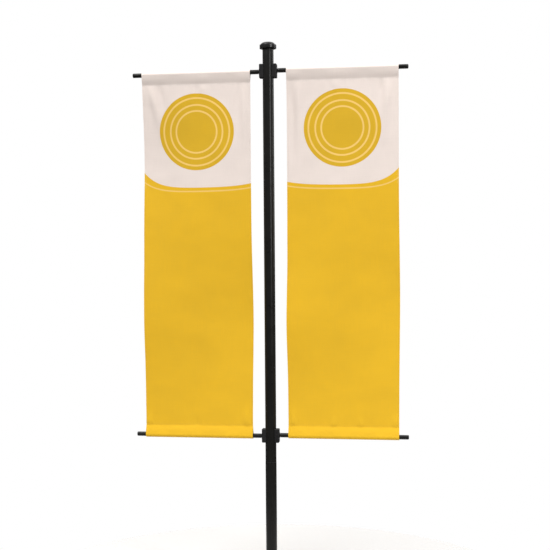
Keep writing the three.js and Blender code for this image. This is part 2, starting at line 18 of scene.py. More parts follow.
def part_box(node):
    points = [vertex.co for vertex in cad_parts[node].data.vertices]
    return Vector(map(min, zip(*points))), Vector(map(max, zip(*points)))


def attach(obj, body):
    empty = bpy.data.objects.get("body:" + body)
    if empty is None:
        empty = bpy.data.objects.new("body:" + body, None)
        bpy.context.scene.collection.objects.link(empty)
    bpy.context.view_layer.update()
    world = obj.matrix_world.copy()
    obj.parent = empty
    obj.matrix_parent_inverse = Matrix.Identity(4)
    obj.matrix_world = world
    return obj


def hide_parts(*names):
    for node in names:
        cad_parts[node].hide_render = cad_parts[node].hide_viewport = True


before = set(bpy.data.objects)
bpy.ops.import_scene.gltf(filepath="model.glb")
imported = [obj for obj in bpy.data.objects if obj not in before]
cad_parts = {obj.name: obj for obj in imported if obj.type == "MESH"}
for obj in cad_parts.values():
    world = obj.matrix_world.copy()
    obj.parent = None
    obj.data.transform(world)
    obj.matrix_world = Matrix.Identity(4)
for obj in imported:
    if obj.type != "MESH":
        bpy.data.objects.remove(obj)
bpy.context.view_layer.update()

log = logging.getLogger("pole_banner")

MM = 0.001
UP = Vector((0, 0, 1))
RIGHT = Vector((1, 0, 0))
BACK = Vector((0, 1, 0))

Point = tuple[float, float]
Colour = tuple[float, float, float]
Piece = bpy.types.Object
Socket = bpy.types.NodeSocket
Material = bpy.types.Material


class Level(Enum):
    """The two heights that have arms."""

    BOTTOM = "bottom"
    TOP = "top"


class Side(Enum):
    """The two sides of the mast, with the sign of X there."""

    LEFT = -1
    RIGHT = 1

    @property
    def word(self) -> str:
        """The side's name as the frame's nodes spell it."""
        return self.name.lower()


class Slot(Enum):
    """The record's material slots."""

    COAT = "powder_coat"
    CAST = "cast_metal"
    PLASTIC = "black_plastic"
    STEEL = "screw_steel"
    CLOTH = "banner_cloth"


# ---------- meshes


def new_object(name: str, points: np.ndarray | list, faces: list) -> Piece:
    """Makes a mesh object and links it to the scene.

    Args:
        name: The piece's name.
        points: Its vertices, in the row frame.
        faces: Its faces, as lists of vertex numbers.

    Returns:
        The new object.
    """
    mesh = bpy.data.meshes.new(name)
    mesh.from_pydata([tuple(p) for p in points], [], faces)
    mesh.validate()
    made = bpy.data.objects.new(name, mesh)
    bpy.context.scene.collection.objects.link(made)
    return made


def seat(origin: Vector, direction: Vector) -> Matrix:
    """The matrix that stands a piece made along Z at origin, pointing in a direction."""
    return Matrix.Translation(origin) @ direction.to_track_quat("Z", "Y").to_matrix().to_4x4()


def eased(profile: list[Point], radius: float, closed: bool = False, steps: int = 3) -> list[Point]:
    """Rounds the corners of a profile.

    Args:
        profile: Corners, in order.
        radius: The round's size; it is limited by half of each side.
        closed: Whether the last corner joins the first.
        steps: Pieces in each round.

    Returns:
        The rounded profile.
    """
    corners = [Vector(p) for p in profile]
    count = len(corners)
    made: list[Point] = []
    for i, corner in enumerate(corners):
        if not closed and i in (0, count - 1):
            made.append(tuple(corner))
            continue
        before, after = corners[i - 1] - corner, corners[(i + 1) % count] - corner
        if before.length < 1e-9 or after.length < 1e-9:
            continue
        if abs(before.normalized().cross(after.normalized())) < 0.05:
            made.append(tuple(corner))
            continue
        reach = min(radius, before.length / 2, after.length / 2)
        start, end = corner + before.normalized() * reach, corner + after.normalized() * reach
        for k in range(steps + 1):
            t = k / steps
            made.append(tuple(start * (1 - t) ** 2 + corner * 2 * t * (1 - t) + end * t * t))
    return made


def lathe(name: str, profile: list[Point], place: Matrix, closed: bool = False, facets: int = 64) -> Piece:
    """Turns a profile about Z and seats it.

    Args:
        name: The piece's name.
        profile: (radius, height) pairs. An open profile starts and ends on the axis.
        place: Where the piece stands.
        closed: True for a tube or ring, whose profile is a loop.
        facets: Faces round a full turn.

    Returns:
        The turned solid.
    """
    points: list[Vector] = []
    rows: list[list[int]] = []
    for radius, height in profile:
        if radius < 1e-7:
            rows.append([len(points)] * facets)
            points.append(place @ Vector((0, 0, height)))
            continue
        rows.append(list(range(len(points), len(points) + facets)))
        for k in range(facets):
            turn = 2 * math.pi * k / facets
            points.append(place @ Vector((radius * math.cos(turn), radius * math.sin(turn), height)))
    faces = []
    last = len(rows) if closed else len(rows) - 1
    for i in range(last):
        low, high = rows[i], rows[(i + 1) % len(rows)]
        for k in range(facets):
            n = (k + 1) % facets
            loop = [low[k], low[n], high[n], high[k]]
            faces.append([v for j, v in enumerate(loop) if v != loop[j - 1]])
    made = new_object(name, points, [f for f in faces if len(f) > 2])
    face_outwards(made)
    return made


def prism(name: str, outline: list[Point], depth: float, place: Matrix) -> Piece:
    """Extrudes a flat outline along Z from zero and seats it.

    Args:
        name: The piece's name.
        outline: Its corners, in order.
        depth: Its height.
        place: Where it stands.

    Returns:
        The solid.
    """
    count = len(outline)
    points = [place @ Vector((x, y, z)) for z in (0, depth) for x, y in outline]
    faces = [list(range(count))[::-1], list(range(count, 2 * count))]
    faces += [[i, (i + 1) % count, (i + 1) % count + count, i + count] for i in range(count)]
    made = new_object(name, points, faces)
    face_outwards(made)
    return made


def hexagon(across: float) -> list[Point]:
    """The corners of a hexagon, given its width across flats."""
    radius = across / math.sqrt(3)
    return [(radius * math.cos(math.pi / 3 * k), radius * math.sin(math.pi / 3 * k)) for k in range(6)]


def rod(name: str, radius: float, low: float, high: float, place: Matrix, facets: int = 32) -> Piece:
    """A plain round bar from one height to another, seated."""
    return lathe(name, [(0, low), (radius, low), (radius, high), (0, high)], place, facets=facets)


def face_outwards(piece: Piece) -> None:
    """Turns every face's normal to the outside.

    Args:
        piece: The piece, which is closed.
    """
    work = bmesh.new()
    work.from_mesh(piece.data)
    bmesh.ops.recalc_face_normals(work, faces=work.faces)
    work.to_mesh(piece.data)
    work.free()


def apply_modifiers(piece: Piece) -> None:
    """Replaces a piece's mesh by what its modifiers make of it, and clears them.

    Args:
        piece: The piece.
    """
    bpy.context.view_layer.update()
    graph = bpy.context.evaluated_depsgraph_get()
    made = bpy.data.meshes.new_from_object(piece.evaluated_get(graph))
    piece.modifiers.clear()
    piece.data = made


def combine(piece: Piece, others: list[Piece], how: str) -> Piece:
    """Joins, cuts or intersects a piece with others, which are used up.

    Args:
        piece: The piece that is changed.
        others: The tools.
        how: UNION, DIFFERENCE or INTERSECT.

    Returns:
        The piece.
    """
    for other in others:
        tool = piece.modifiers.new("tool", "BOOLEAN")
        tool.operation, tool.object, tool.solver = how, other, "EXACT"
    apply_modifiers(piece)
    for other in others:
        bpy.data.objects.remove(other)
    return piece


def cut(piece: Piece, tools: list[Piece]) -> Piece:
    """Cuts the tools out of a piece."""
    return combine(piece, tools, "DIFFERENCE")


def bevel(piece: Piece, width: float, steps: int = 3, angle: float = 35) -> None:
    """Rounds the edges of a piece that turn by more than an angle in degrees.

    Args:
        piece: The piece.
        width: The round's size.
        steps: Faces across the round.
        angle: The smallest turn that is rounded.
    """
    tool = piece.modifiers.new("bevel", "BEVEL")
    tool.width, tool.segments, tool.limit_method = width, steps, "ANGLE"
    tool.angle_limit = math.radians(angle)
    tool.harden_normals = False
    apply_modifiers(piece)


def smooth(piece: Piece, angle: float = 32) -> None:
    """Shades a piece smoothly, apart from edges sharper than an angle in degrees."""
    piece.data.shade_smooth()
    piece.data.set_sharp_from_angle(angle=math.radians(angle))


def finish_piece(
    piece: Piece, finish: Material, slot: Slot, body: str, *nodes: str, angle: float = 32
) -> Piece:
    """Gives a piece its finish and ties it to the frame.

    Args:
        piece: The piece, in place.
        finish: Its material.
        slot: The record's slot that the finish belongs to; it is not used.
        body: The body that it rides.
        *nodes: The frame's nodes that it stands for.
        angle: Edges sharper than this, in degrees, stay sharp.

    Returns:
        The piece.
    """
    piece.data.materials.clear()
    piece.data.materials.append(finish)
    smooth(piece, angle)
    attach(piece, body)
    if nodes:
        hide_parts(*nodes)
    log.info("%s rides %s", piece.name, body)
    return piece


def middle(node: str) -> Vector:
    """The middle of a frame node's box."""
    low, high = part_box(node)
    return (low + high) / 2


def radius_of(node: str) -> float:
    """Half of a frame node's width along X."""
    low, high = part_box(node)
    return (high.x - low.x) / 2


# ---------- shader helpers


class Graph:
    """A node tree with short ways to add and join nodes."""

    def __init__(self, tree: bpy.types.NodeTree) -> None:
        """Wraps a tree."""
        self.tree = tree

    def add(self, kind: str, **settings: object) -> bpy.types.Node:
        """Adds a node and sets its properties.

        Args:
            kind: The node's type.
            **settings: Its properties.

        Returns:
            The node.
        """
        node = self.tree.nodes.new(kind)
        for key, value in settings.items():
            setattr(node, key, value)
        return node

    def feed(self, socket: Socket, value: object) -> None:
        """Links a socket to another, or sets its value.

        Args:
            socket: The input.
            value: A socket or a plain value. None leaves the input as it is.
        """
        if isinstance(value, Socket):
            self.tree.links.new(value, socket)
        elif value is not None:
            socket.default_value = value

    def math(self, how: str, a: object, b: object = None, clamp: bool = False) -> Socket:
        """A Math node's result.

        Args:
            how: The operation.
            a: Its first input.
            b: Its second input.
            clamp: Whether the result stays between 0 and 1.

        Returns:
            The result.
        """
        node = self.add("ShaderNodeMath", operation=how, use_clamp=clamp)
        self.feed(node.inputs[0], a)
        self.feed(node.inputs[1], b)
        return node.outputs[0]

    def remap(self, value: object, low: object, high: object, to_low: object = 0.0,
              to_high: object = 1.0, soft: bool = False) -> Socket:
        """A Map Range node's result, with clamped ends.

        Args:
            value: What is mapped.
            low: Where its range starts.
            high: Where it ends.
            to_low: The result at its start.
            to_high: The result at its end.
            soft: Whether the change eases in and out.

        Returns:
            The result.
        """
        node = self.add("ShaderNodeMapRange", interpolation_type="SMOOTHSTEP" if soft else "LINEAR")
        for socket, part in zip(node.inputs[:5], (value, low, high, to_low, to_high)):
            self.feed(socket, part)
        return node.outputs[0]

    def mix(self, share: object, a: object, b: object) -> Socket:
        """A colour mix's result.

        Args:
            share: How much of the second colour.
            a: The first colour.
            b: The second colour.

        Returns:
            The mixed colour.
        """
        node = self.add("ShaderNodeMix", data_type="RGBA")
        self.feed(node.inputs[0], share)
        self.feed(node.inputs[6], a)
        self.feed(node.inputs[7], b)
        return node.outputs[2]

    def noise(self, vector: object, scale: object, detail: float = 3.0, roughness: float = 0.55,
              distortion: float = 0.0) -> Socket:
        """A noise texture's value.

        Args:
            vector: Where it is looked up.
            scale: Its scale.
            detail: Its octaves.
            roughness: The share that each octave keeps.
            distortion: How far it is pulled about.

        Returns:
            The value, from 0 to 1.
        """
        node = self.add("ShaderNodeTexNoise")
        self.feed(node.inputs["Vector"], vector)
        self.feed(node.inputs["Scale"], scale)
        self.feed(node.inputs["Detail"], detail)
        self.feed(node.inputs["Roughness"], roughness)
        self.feed(node.inputs["Distortion"], distortion)
        return node.outputs["Fac"]

    def group(self, tree: bpy.types.NodeTree, values: dict[str, object]) -> bpy.types.Node:
        """Places a node group.

        Args:
            tree: The group.
            values: A value or a socket for each input that doesn't keep its own.

        Returns:
            The group's node.
        """
        node = self.add("ShaderNodeGroup", node_tree=tree)
        for label, value in values.items():
            self.feed(node.inputs[label], value)
        return node

    def bump(self, shader: bpy.types.Node, height: object, strength: float, distance: float) -> None:
        """Puts relief on a shader.

        Args:
            shader: The shader whose normal it feeds.
            height: The relief's height, from 0 to 1.
            strength: The Bump node's strength.
            distance: The relief's depth in metres.
        """
        node = self.add("ShaderNodeBump")
        node.inputs["Strength"].default_value = strength
        node.inputs["Distance"].default_value = distance
        self.feed(node.inputs["Height"], height)
        self.feed(shader.inputs["Normal"], node.outputs[0])


def new_group(name: str, inputs: dict[str, tuple[str, object]], outputs: dict[str, str]) -> tuple:
    """Starts a shader node group.

    Args:
        name: The group's name.
        inputs: Socket kind and default value by name.
        outputs: Socket kind by name.

    Returns:
        The tree, its graph, and its input and output nodes.
    """
    tree = bpy.data.node_groups.new(name, "ShaderNodeTree")
    for label, (kind, value) in inputs.items():
        socket = tree.interface.new_socket(label, in_out="INPUT", socket_type=kind)
        if value is not None:
            socket.default_value = value
    for label, kind in outputs.items():
        tree.interface.new_socket(label, in_out="OUTPUT", socket_type=kind)
    graph = Graph(tree)
    return tree, graph, graph.add("NodeGroupInput"), graph.add("NodeGroupOutput")


FLOAT, VECTOR, COLOUR = "NodeSocketFloat", "NodeSocketVector", "NodeSocketColor"


class Effects:
    """The node groups that several finishes share."""

    def __init__(self) -> None:
        """Builds each group once."""
        self.surface = self._surface()
        self.dust = self._dust()
        self.weave = self._weave()
        self.print = self._print()

    @staticmethod
    def _surface() -> bpy.types.NodeTree:
        """Grain at two scales, with blotches: a height for bump and a mask for roughness.

        Returns:
            The group.
        """
        tree, g, given, out = new_group(
            "painted_grain",
            {"Vector": (VECTOR, None), "Fine Scale": (FLOAT, 900.0), "Coarse Scale": (FLOAT, 120.0),
             "Coarse Share": (FLOAT, 0.5), "Blotch Scale": (FLOAT, 9.0)},
            {"Height": FLOAT, "Blotch": FLOAT},
        )
        place = given.outputs["Vector"]
        fine = g.noise(place, given.outputs["Fine Scale"], 2.0, 0.5)
        coarse = g.noise(place, given.outputs["Coarse Scale"], 4.0, 0.6)
        share = given.outputs["Coarse Share"]
        kept = g.math("MULTIPLY", fine, g.math("SUBTRACT", 1.0, share))
        g.feed(out.inputs["Height"], g.math("ADD", kept, g.math("MULTIPLY", coarse, share)))
        blotch = g.noise(place, given.outputs["Blotch Scale"], 4.0, 0.6, 0.4)
        g.feed(out.inputs["Blotch"], g.remap(blotch, 0.35, 0.7, soft=True))
        return tree

    @staticmethod
    def _dust() -> bpy.types.NodeTree:
        """A mask of dust that lies on what faces up, broken by noise.

        Returns:
            The group.
        """
        tree, g, given, out = new_group(
            "settled_dust",
            {"Vector": (VECTOR, None), "Normal": (VECTOR, None), "Amount": (FLOAT, 0.4),
             "Streaks": (FLOAT, 0.1)},
            {"Mask": FLOAT},
        )
        turn = g.add("ShaderNodeSeparateXYZ")
        g.feed(turn.inputs[0], given.outputs["Normal"])
        up = g.remap(turn.outputs[2], 0.15, 0.95, soft=True)
        broken = g.remap(g.noise(given.outputs["Vector"], 26.0, 5.0, 0.65), 0.3, 0.75, soft=True)
        lying = g.math("MULTIPLY", g.math("MULTIPLY", up, broken), given.outputs["Amount"])
        stretch = g.add("ShaderNodeMapping")
        stretch.inputs["Scale"].default_value = (60.0, 60.0, 1.6)
        g.feed(stretch.inputs["Vector"], given.outputs["Vector"])
        runs = g.remap(g.noise(stretch.outputs[0], 1.0, 4.0, 0.6), 0.5, 0.8, soft=True)
        g.feed(out.inputs["Mask"], g.math(
            "ADD", lying, g.math("MULTIPLY", runs, given.outputs["Streaks"]), clamp=True))
        return tree

    @staticmethod
    def _weave() -> bpy.types.NodeTree:
        """Plain weave from flat coordinates in metres: thread height and thread tone.

        Returns:
            The group.
        """
        tree, g, given, out = new_group(
            "plain_weave",
            {"Flat": (VECTOR, None), "Pitch": (FLOAT, 0.0006)},
            {"Height": FLOAT, "Tone": FLOAT},
        )
        axes = g.add("ShaderNodeSeparateXYZ")
        g.feed(axes.inputs[0], given.outputs["Flat"])
        step = g.math("DIVIDE", math.pi, given.outputs["Pitch"])
        waves = [g.math("SINE", g.math("MULTIPLY", axes.outputs[k], step)) for k in (0, 1)]
        over = g.math("MULTIPLY", waves[0], waves[1])
        g.feed(out.inputs["Height"], g.math("MULTIPLY_ADD", over, 0.5))
        slub = g.add("ShaderNodeMapping")
        slub.inputs["Scale"].default_value = (420.0, 9.0, 1.0)
        g.feed(slub.inputs["Vector"], given.outputs["Flat"])
        across = g.add("ShaderNodeMapping")
        across.inputs["Scale"].default_value = (9.0, 420.0, 1.0)
        g.feed(across.inputs["Vector"], given.outputs["Flat"])
        warp, weft = (g.noise(m.outputs[0], 1.0, 2.0, 0.5) for m in (slub, across))
        g.feed(out.inputs["Tone"], g.math("MULTIPLY", g.math("ADD", warp, weft), 0.5))
        return tree

    @staticmethod
    def _print() -> bpy.types.NodeTree:
        """The banner's print from flat coordinates: x from the outer edge, y down from the top.

        The head is white with a plain ringed disc, and a sagging border parts it from the field.

        Returns:
            The group.
        """
        tree, g, given, out = new_group(
            "banner_print",
            {"Flat": (VECTOR, None), "Width": (FLOAT, 0.6), "Head": (COLOUR, None),
             "Field": (COLOUR, None), "Disc": (COLOUR, None), "Line": (COLOUR, None)},
            {"Colour": COLOUR, "Ink": FLOAT},
        )
        axes = g.add("ShaderNodeSeparateXYZ")
        g.feed(axes.inputs[0], given.outputs["Flat"])
        across, down = axes.outputs[0], axes.outputs[1]
        share = g.math("DIVIDE", across, given.outputs["Width"], clamp=True)
        rest = g.math("SUBTRACT", 1.0, share)

        def border(level: float, outer: float, inner: float) -> Socket:
            """The height of a sagging line whose ends rise at the outer and the inner edge.

            Args:
                level: Its lowest point below the banner's top.
                outer: The rise at the outer edge.
                inner: The rise at the inner edge.

            Returns:
                The distance down to it.
            """
            risen = g.math("ADD", g.math("MULTIPLY", g.math("POWER", rest, 8.0), outer),
                           g.math("MULTIPLY", g.math("POWER", share, 6.0), inner))
            return g.math("SUBTRACT", level, risen)

        def band(value: object, width: float, blur: float = 0.0012) -> Socket:
            """1 where a signed distance is within half a width."""
            return g.remap(g.math("ABSOLUTE", value), width / 2 + blur, width / 2 - blur, soft=True)

        edge = g.math("SUBTRACT", down, border(HEAD_DEPTH, HEAD_OUTER_RISE, HEAD_INNER_RISE))
        field_mask = g.remap(edge, -0.001, 0.001, soft=True)
        contour = band(g.math("SUBTRACT", down, border(
            LINE_DEPTH, LINE_OUTER_RISE, LINE_INNER_RISE)), LINE_WIDTH)
        x = g.math("SUBTRACT", across, g.math("MULTIPLY", given.outputs["Width"], 0.5))
        y = g.math("SUBTRACT", down, DISC_DEPTH)
        radius = g.math("SQRT", g.math("ADD", g.math("MULTIPLY", x, x), g.math("MULTIPLY", y, y)))
        disc = g.remap(radius, DISC_RADIUS + 0.001, DISC_RADIUS - 0.001, soft=True)
        rings = None
        for part in RING_SHARES:
            ring = band(g.math("SUBTRACT", radius, DISC_RADIUS * part), RING_WIDTH)
            rings = ring if rings is None else g.math("MAXIMUM", rings, ring)
        lines = g.math("MAXIMUM", rings, contour)
        inked = g.mix(disc, given.outputs["Head"], given.outputs["Disc"])
        inked = g.mix(field_mask, inked, given.outputs["Field"])
        g.feed(out.inputs["Colour"], g.mix(lines, inked, given.outputs["Line"]))
        g.feed(out.inputs["Ink"], g.math("MAXIMUM", disc, field_mask))
        return tree


# ---------- the print's layout

DISC_DEPTH = 0.326  # from the banner's top to the disc's middle
DISC_RADIUS = 0.208
RING_SHARES = (0.88, 0.70, 0.545)
RING_WIDTH = 0.0095
HEAD_DEPTH = 0.629  # the border's lowest point below the banner's top
HEAD_OUTER_RISE = 0.087
HEAD_INNER_RISE = 0.02
LINE_DEPTH = 0.6495
LINE_OUTER_RISE = 0.055
LINE_INNER_RISE = 0.018
LINE_WIDTH = 0.0072


# ---------- finishes


def start_material(name: str) -> tuple[Material, Graph, bpy.types.Node, bpy.types.Node]:
    """A new material with its graph, its Principled shader and its texture coordinates.

    Args:
        name: The material's name.

    Returns:
        The four of them, in that order.
    """
    made = bpy.data.materials.new(name)
    made.use_nodes = True
    made.node_tree.nodes.clear()
    g = Graph(made.node_tree)
    shader = g.add("ShaderNodeBsdfPrincipled")
    out = g.add("ShaderNodeOutputMaterial")
    g.feed(out.inputs["Surface"], shader.outputs[0])
    return made, g, shader, g.add("ShaderNodeTexCoord")


@dataclass(frozen=True)
class Painted:
    """A painted or moulded black finish: grain, blotches, dust and paler worn edges."""

    name: str
    base: Colour
    roughness: float
    roughness_spread: float
    fine_scale: float
    coarse_scale: float
    coarse_share: float
    relief: float
    dust: float
    streaks: float = 0.0
    specular: float = 0.5
    coat: float = 0.0
    metal: float = 0.0
    dust_colour: Colour = (0.11, 0.105, 0.095)
    worn_colour: Colour = (0.06, 0.06, 0.06)
    wear: float = 0.3

    def build(self, effects: Effects) -> Material:
        """Makes the material.

        Args:
            effects: The shared node groups.

        Returns:
            The material.
        """
        made, g, shader, place = start_material(self.name)
        where = place.outputs["Object"]
        grain = g.group(effects.surface, {"Vector": where, "Fine Scale": self.fine_scale,
                                          "Coarse Scale": self.coarse_scale,
                                          "Coarse Share": self.coarse_share})
        dust = g.group(effects.dust, {"Vector": where, "Normal": place.outputs["Normal"],
                                      "Amount": self.dust, "Streaks": self.streaks})
        geometry = g.add("ShaderNodeNewGeometry")
        edges = g.remap(geometry.outputs["Pointiness"], 0.53, 0.6, soft=True)
        chips = g.remap(g.noise(where, 140.0, 4.0, 0.7), 0.45, 0.6, soft=True)
        worn = g.math("MULTIPLY", g.math("MULTIPLY", edges, chips), self.wear)
        tone = g.mix(g.math("MULTIPLY", grain.outputs["Blotch"], 0.35),
                     (*self.base, 1), (*[c * 1.6 for c in self.base], 1))
        tone = g.mix(worn, tone, (*self.worn_colour, 1))
        g.feed(shader.inputs["Base Color"], g.mix(dust.outputs["Mask"], tone, (*self.dust_colour, 1)))
        low = self.roughness - self.roughness_spread / 2
        spread = g.remap(grain.outputs["Blotch"], 0.0, 1.0, low, low + self.roughness_spread)
        g.feed(shader.inputs["Roughness"], g.math(
            "ADD", spread, g.math("MULTIPLY", dust.outputs["Mask"], 0.3), clamp=True))
        g.bump(shader, grain.outputs["Height"], 0.6, self.relief)
        shader.inputs["Specular IOR Level"].default_value = self.specular
        shader.inputs["Coat Weight"].default_value = self.coat
        shader.inputs["Coat Roughness"].default_value = 0.2
        shader.inputs["Metallic"].default_value = self.metal
        return made


@dataclass(frozen=True)
class Plated:
    """Zinc-plated steel with fine tool marks and duller patches."""

    name: str = "zinc_plated_steel"
    bright: Colour = (0.52, 0.52, 0.53)
    dull: Colour = (0.30, 0.30, 0.29)
    roughness: float = 0.34

    def build(self, effects: Effects) -> Material:
        """Makes the material.

        Args:
            effects: The shared node groups.

        Returns:
            The material.
        """
        made, g, shader, place = start_material(self.name)
        grain = g.group(effects.surface, {"Vector": place.outputs["Object"], "Fine Scale": 2400.0,
                                          "Coarse Scale": 400.0, "Coarse Share": 0.3,
                                          "Blotch Scale": 160.0})
        g.feed(shader.inputs["Base Color"], g.mix(
            grain.outputs["Blotch"], (*self.bright, 1), (*self.dull, 1)))
        g.feed(shader.inputs["Roughness"], g.remap(
            grain.outputs["Blotch"], 0.0, 1.0, self.roughness, self.roughness + 0.2))
        g.bump(shader, grain.outputs["Height"], 0.4, 0.00008)
        shader.inputs["Metallic"].default_value = 1.0
        return made


@dataclass(frozen=True)
class Cloth:
    """Printed woven polyester, seen from its printed face or from its paler back."""

    name: str = "printed_polyester"
    head: Colour = (0.86, 0.757, 0.70)
    field: Colour = (0.84, 0.495, 0.0172)
    disc: Colour = (0.72, 0.434, 0.0185)
    line: Colour = (0.93, 0.62, 0.17)
    paleness: float = 0.0
    tone_spread: float = 0.055
    pitch: float = 0.0006
    relief: float = 0.00012

    def build(self, effects: Effects) -> Material:
        """Makes the material. The flat coordinates are the cloth's UV map, in metres.

        Args:
            effects: The shared node groups.

        Returns:
            The material.
        """
        made, g, shader, place = start_material(self.name)
        flat = place.outputs["UV"]
        art = g.group(effects.print, {"Flat": flat, "Head": (*self.head, 1), "Field": (*self.field, 1),
                                      "Disc": (*self.disc, 1), "Line": (*self.line, 1)})
        weave = g.group(effects.weave, {"Flat": flat, "Pitch": self.pitch})
        clouds = g.noise(flat, 5.0, 4.0, 0.6, 0.3)
        tone = g.math("ADD", g.remap(weave.outputs["Tone"], 0.3, 0.7, -0.5, 0.5),
                      g.remap(clouds, 0.3, 0.7, -0.5, 0.5))
        tone = g.math("ADD", 1.0, g.math("MULTIPLY", tone, self.tone_spread))
        shade = g.add("ShaderNodeVectorMath", operation="SCALE")
        paled = art.outputs["Colour"]
        if self.paleness:
            paled = g.mix(self.paleness, paled, (*self.head, 1))
        g.feed(shade.inputs[0], paled)
        g.feed(shade.inputs["Scale"], tone)
        g.feed(shader.inputs["Base Color"], shade.outputs[0])
        g.feed(shader.inputs["Roughness"], g.remap(
            g.math("ADD", clouds, weave.outputs["Tone"]), 0.7, 1.3, 0.72, 0.86))
        g.bump(shader, weave.outputs["Height"], 0.5, self.relief)
        shader.inputs["Sheen Weight"].default_value = 0.12
        shader.inputs["Sheen Roughness"].default_value = 0.5
        shader.inputs["Specular IOR Level"].default_value = 0.25
        return made


@dataclass(frozen=True)
class Thread:
    """Polyester sewing thread with a fine twist."""

    name: str
    colour: Colour

    def build(self, effects: Effects) -> Material:
        """Makes the material.

        Args:
            effects: The shared node groups.

        Returns:
            The material.
        """
        made, g, shader, place = start_material(self.name)
        grain = g.group(effects.surface, {"Vector": place.outputs["Object"], "Fine Scale": 4000.0,
                                          "Coarse Scale": 900.0})
        darker = tuple(c * 0.8 for c in self.colour)
        g.feed(shader.inputs["Base Color"], g.mix(
            grain.outputs["Height"], (*self.colour, 1), (*darker, 1)))
        g.feed(shader.inputs["Roughness"], g.remap(grain.outputs["Blotch"], 0.0, 1.0, 0.6, 0.8))
        return made


class Finishes:
    """Every finish of the object, built once."""

    def __init__(self) -> None:
        """Builds the shared effects and the materials."""
        effects = Effects()
        self.coat = Painted(
            "black_powder_coat", (0.0085, 0.0085, 0.0078), 0.3, 0.06, 1400.0, 380.0, 0.55, 0.00006,
            dust=0.2, streaks=0.03, specular=0.2, wear=0.25).build(effects)
        self.cast = Painted(
            "cast_black_paint", (0.011, 0.011, 0.0115), 0.52, 0.16, 900.0, 420.0, 0.7, 0.00025,
            dust=0.3, streaks=0.02, specular=0.22, wear=0.6).build(effects)
        self.cap = Painted(
            "cap_black_gloss", (0.0065, 0.0065, 0.0065), 0.26, 0.1, 1100.0, 300.0, 0.6, 0.0001,
            dust=0.08, specular=0.3, coat=0.1, wear=0.3).build(effects)
        self.nylon = Painted(
            "moulded_black_nylon", (0.0075, 0.0075, 0.0078), 0.46, 0.08, 2600.0, 900.0, 0.4, 0.00005,
            dust=0.12, specular=0.25, wear=0.1).build(effects)
        self.steel = Plated().build(effects)
        self.cloth_face = Cloth().build(effects)
        self.cloth_back = Cloth(name="printed_polyester_back", paleness=0.04).build(effects)
        self.white_thread = Thread("white_thread", (0.78, 0.72, 0.69)).build(effects)
        self.yellow_thread = Thread("yellow_thread", (0.76, 0.44, 0.05)).build(effects)


# ---------- screws


@dataclass
class GrubScrew:
    """A headless screw with a hexagonal socket in its outer end."""

    diameter: float
    socket: float
    socket_depth: float = 2.5 * MM
    length: float = 0.0  # where it is 0, the screw lies along an axis and its box gives it

    def make(self, node: str, outwards: Vector, steel: Material, body: str) -> None:
        """Builds the screw where its frame node is.

        Args:
            node: The frame's node.
            outwards: The direction that its socket faces.
            steel: Its finish.
            body: The body that it rides.
        """
        radius = self.diameter / 2
        low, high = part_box(node)
        length = self.length or (high - low).dot(Vector([abs(c) for c in outwards]))
        place = seat(middle(node) - outwards * length / 2, outwards)
        chamfer = radius / 6
        profile = [(0, 0), (radius - chamfer, 0), (radius, chamfer), (radius, length - chamfer),
                   (radius - chamfer, length), (0, length)]
        screw = lathe(node + "_screw", eased(profile, 0.2 * MM), place, facets=40)
        socket = prism("socket", hexagon(self.socket), self.socket_depth + MM,
                       place @ Matrix.Translation((0, 0, length - self.socket_depth)))
        cut(screw, [socket])
        finish_piece(screw, steel, Slot.STEEL, body, node)


# ---------- mast


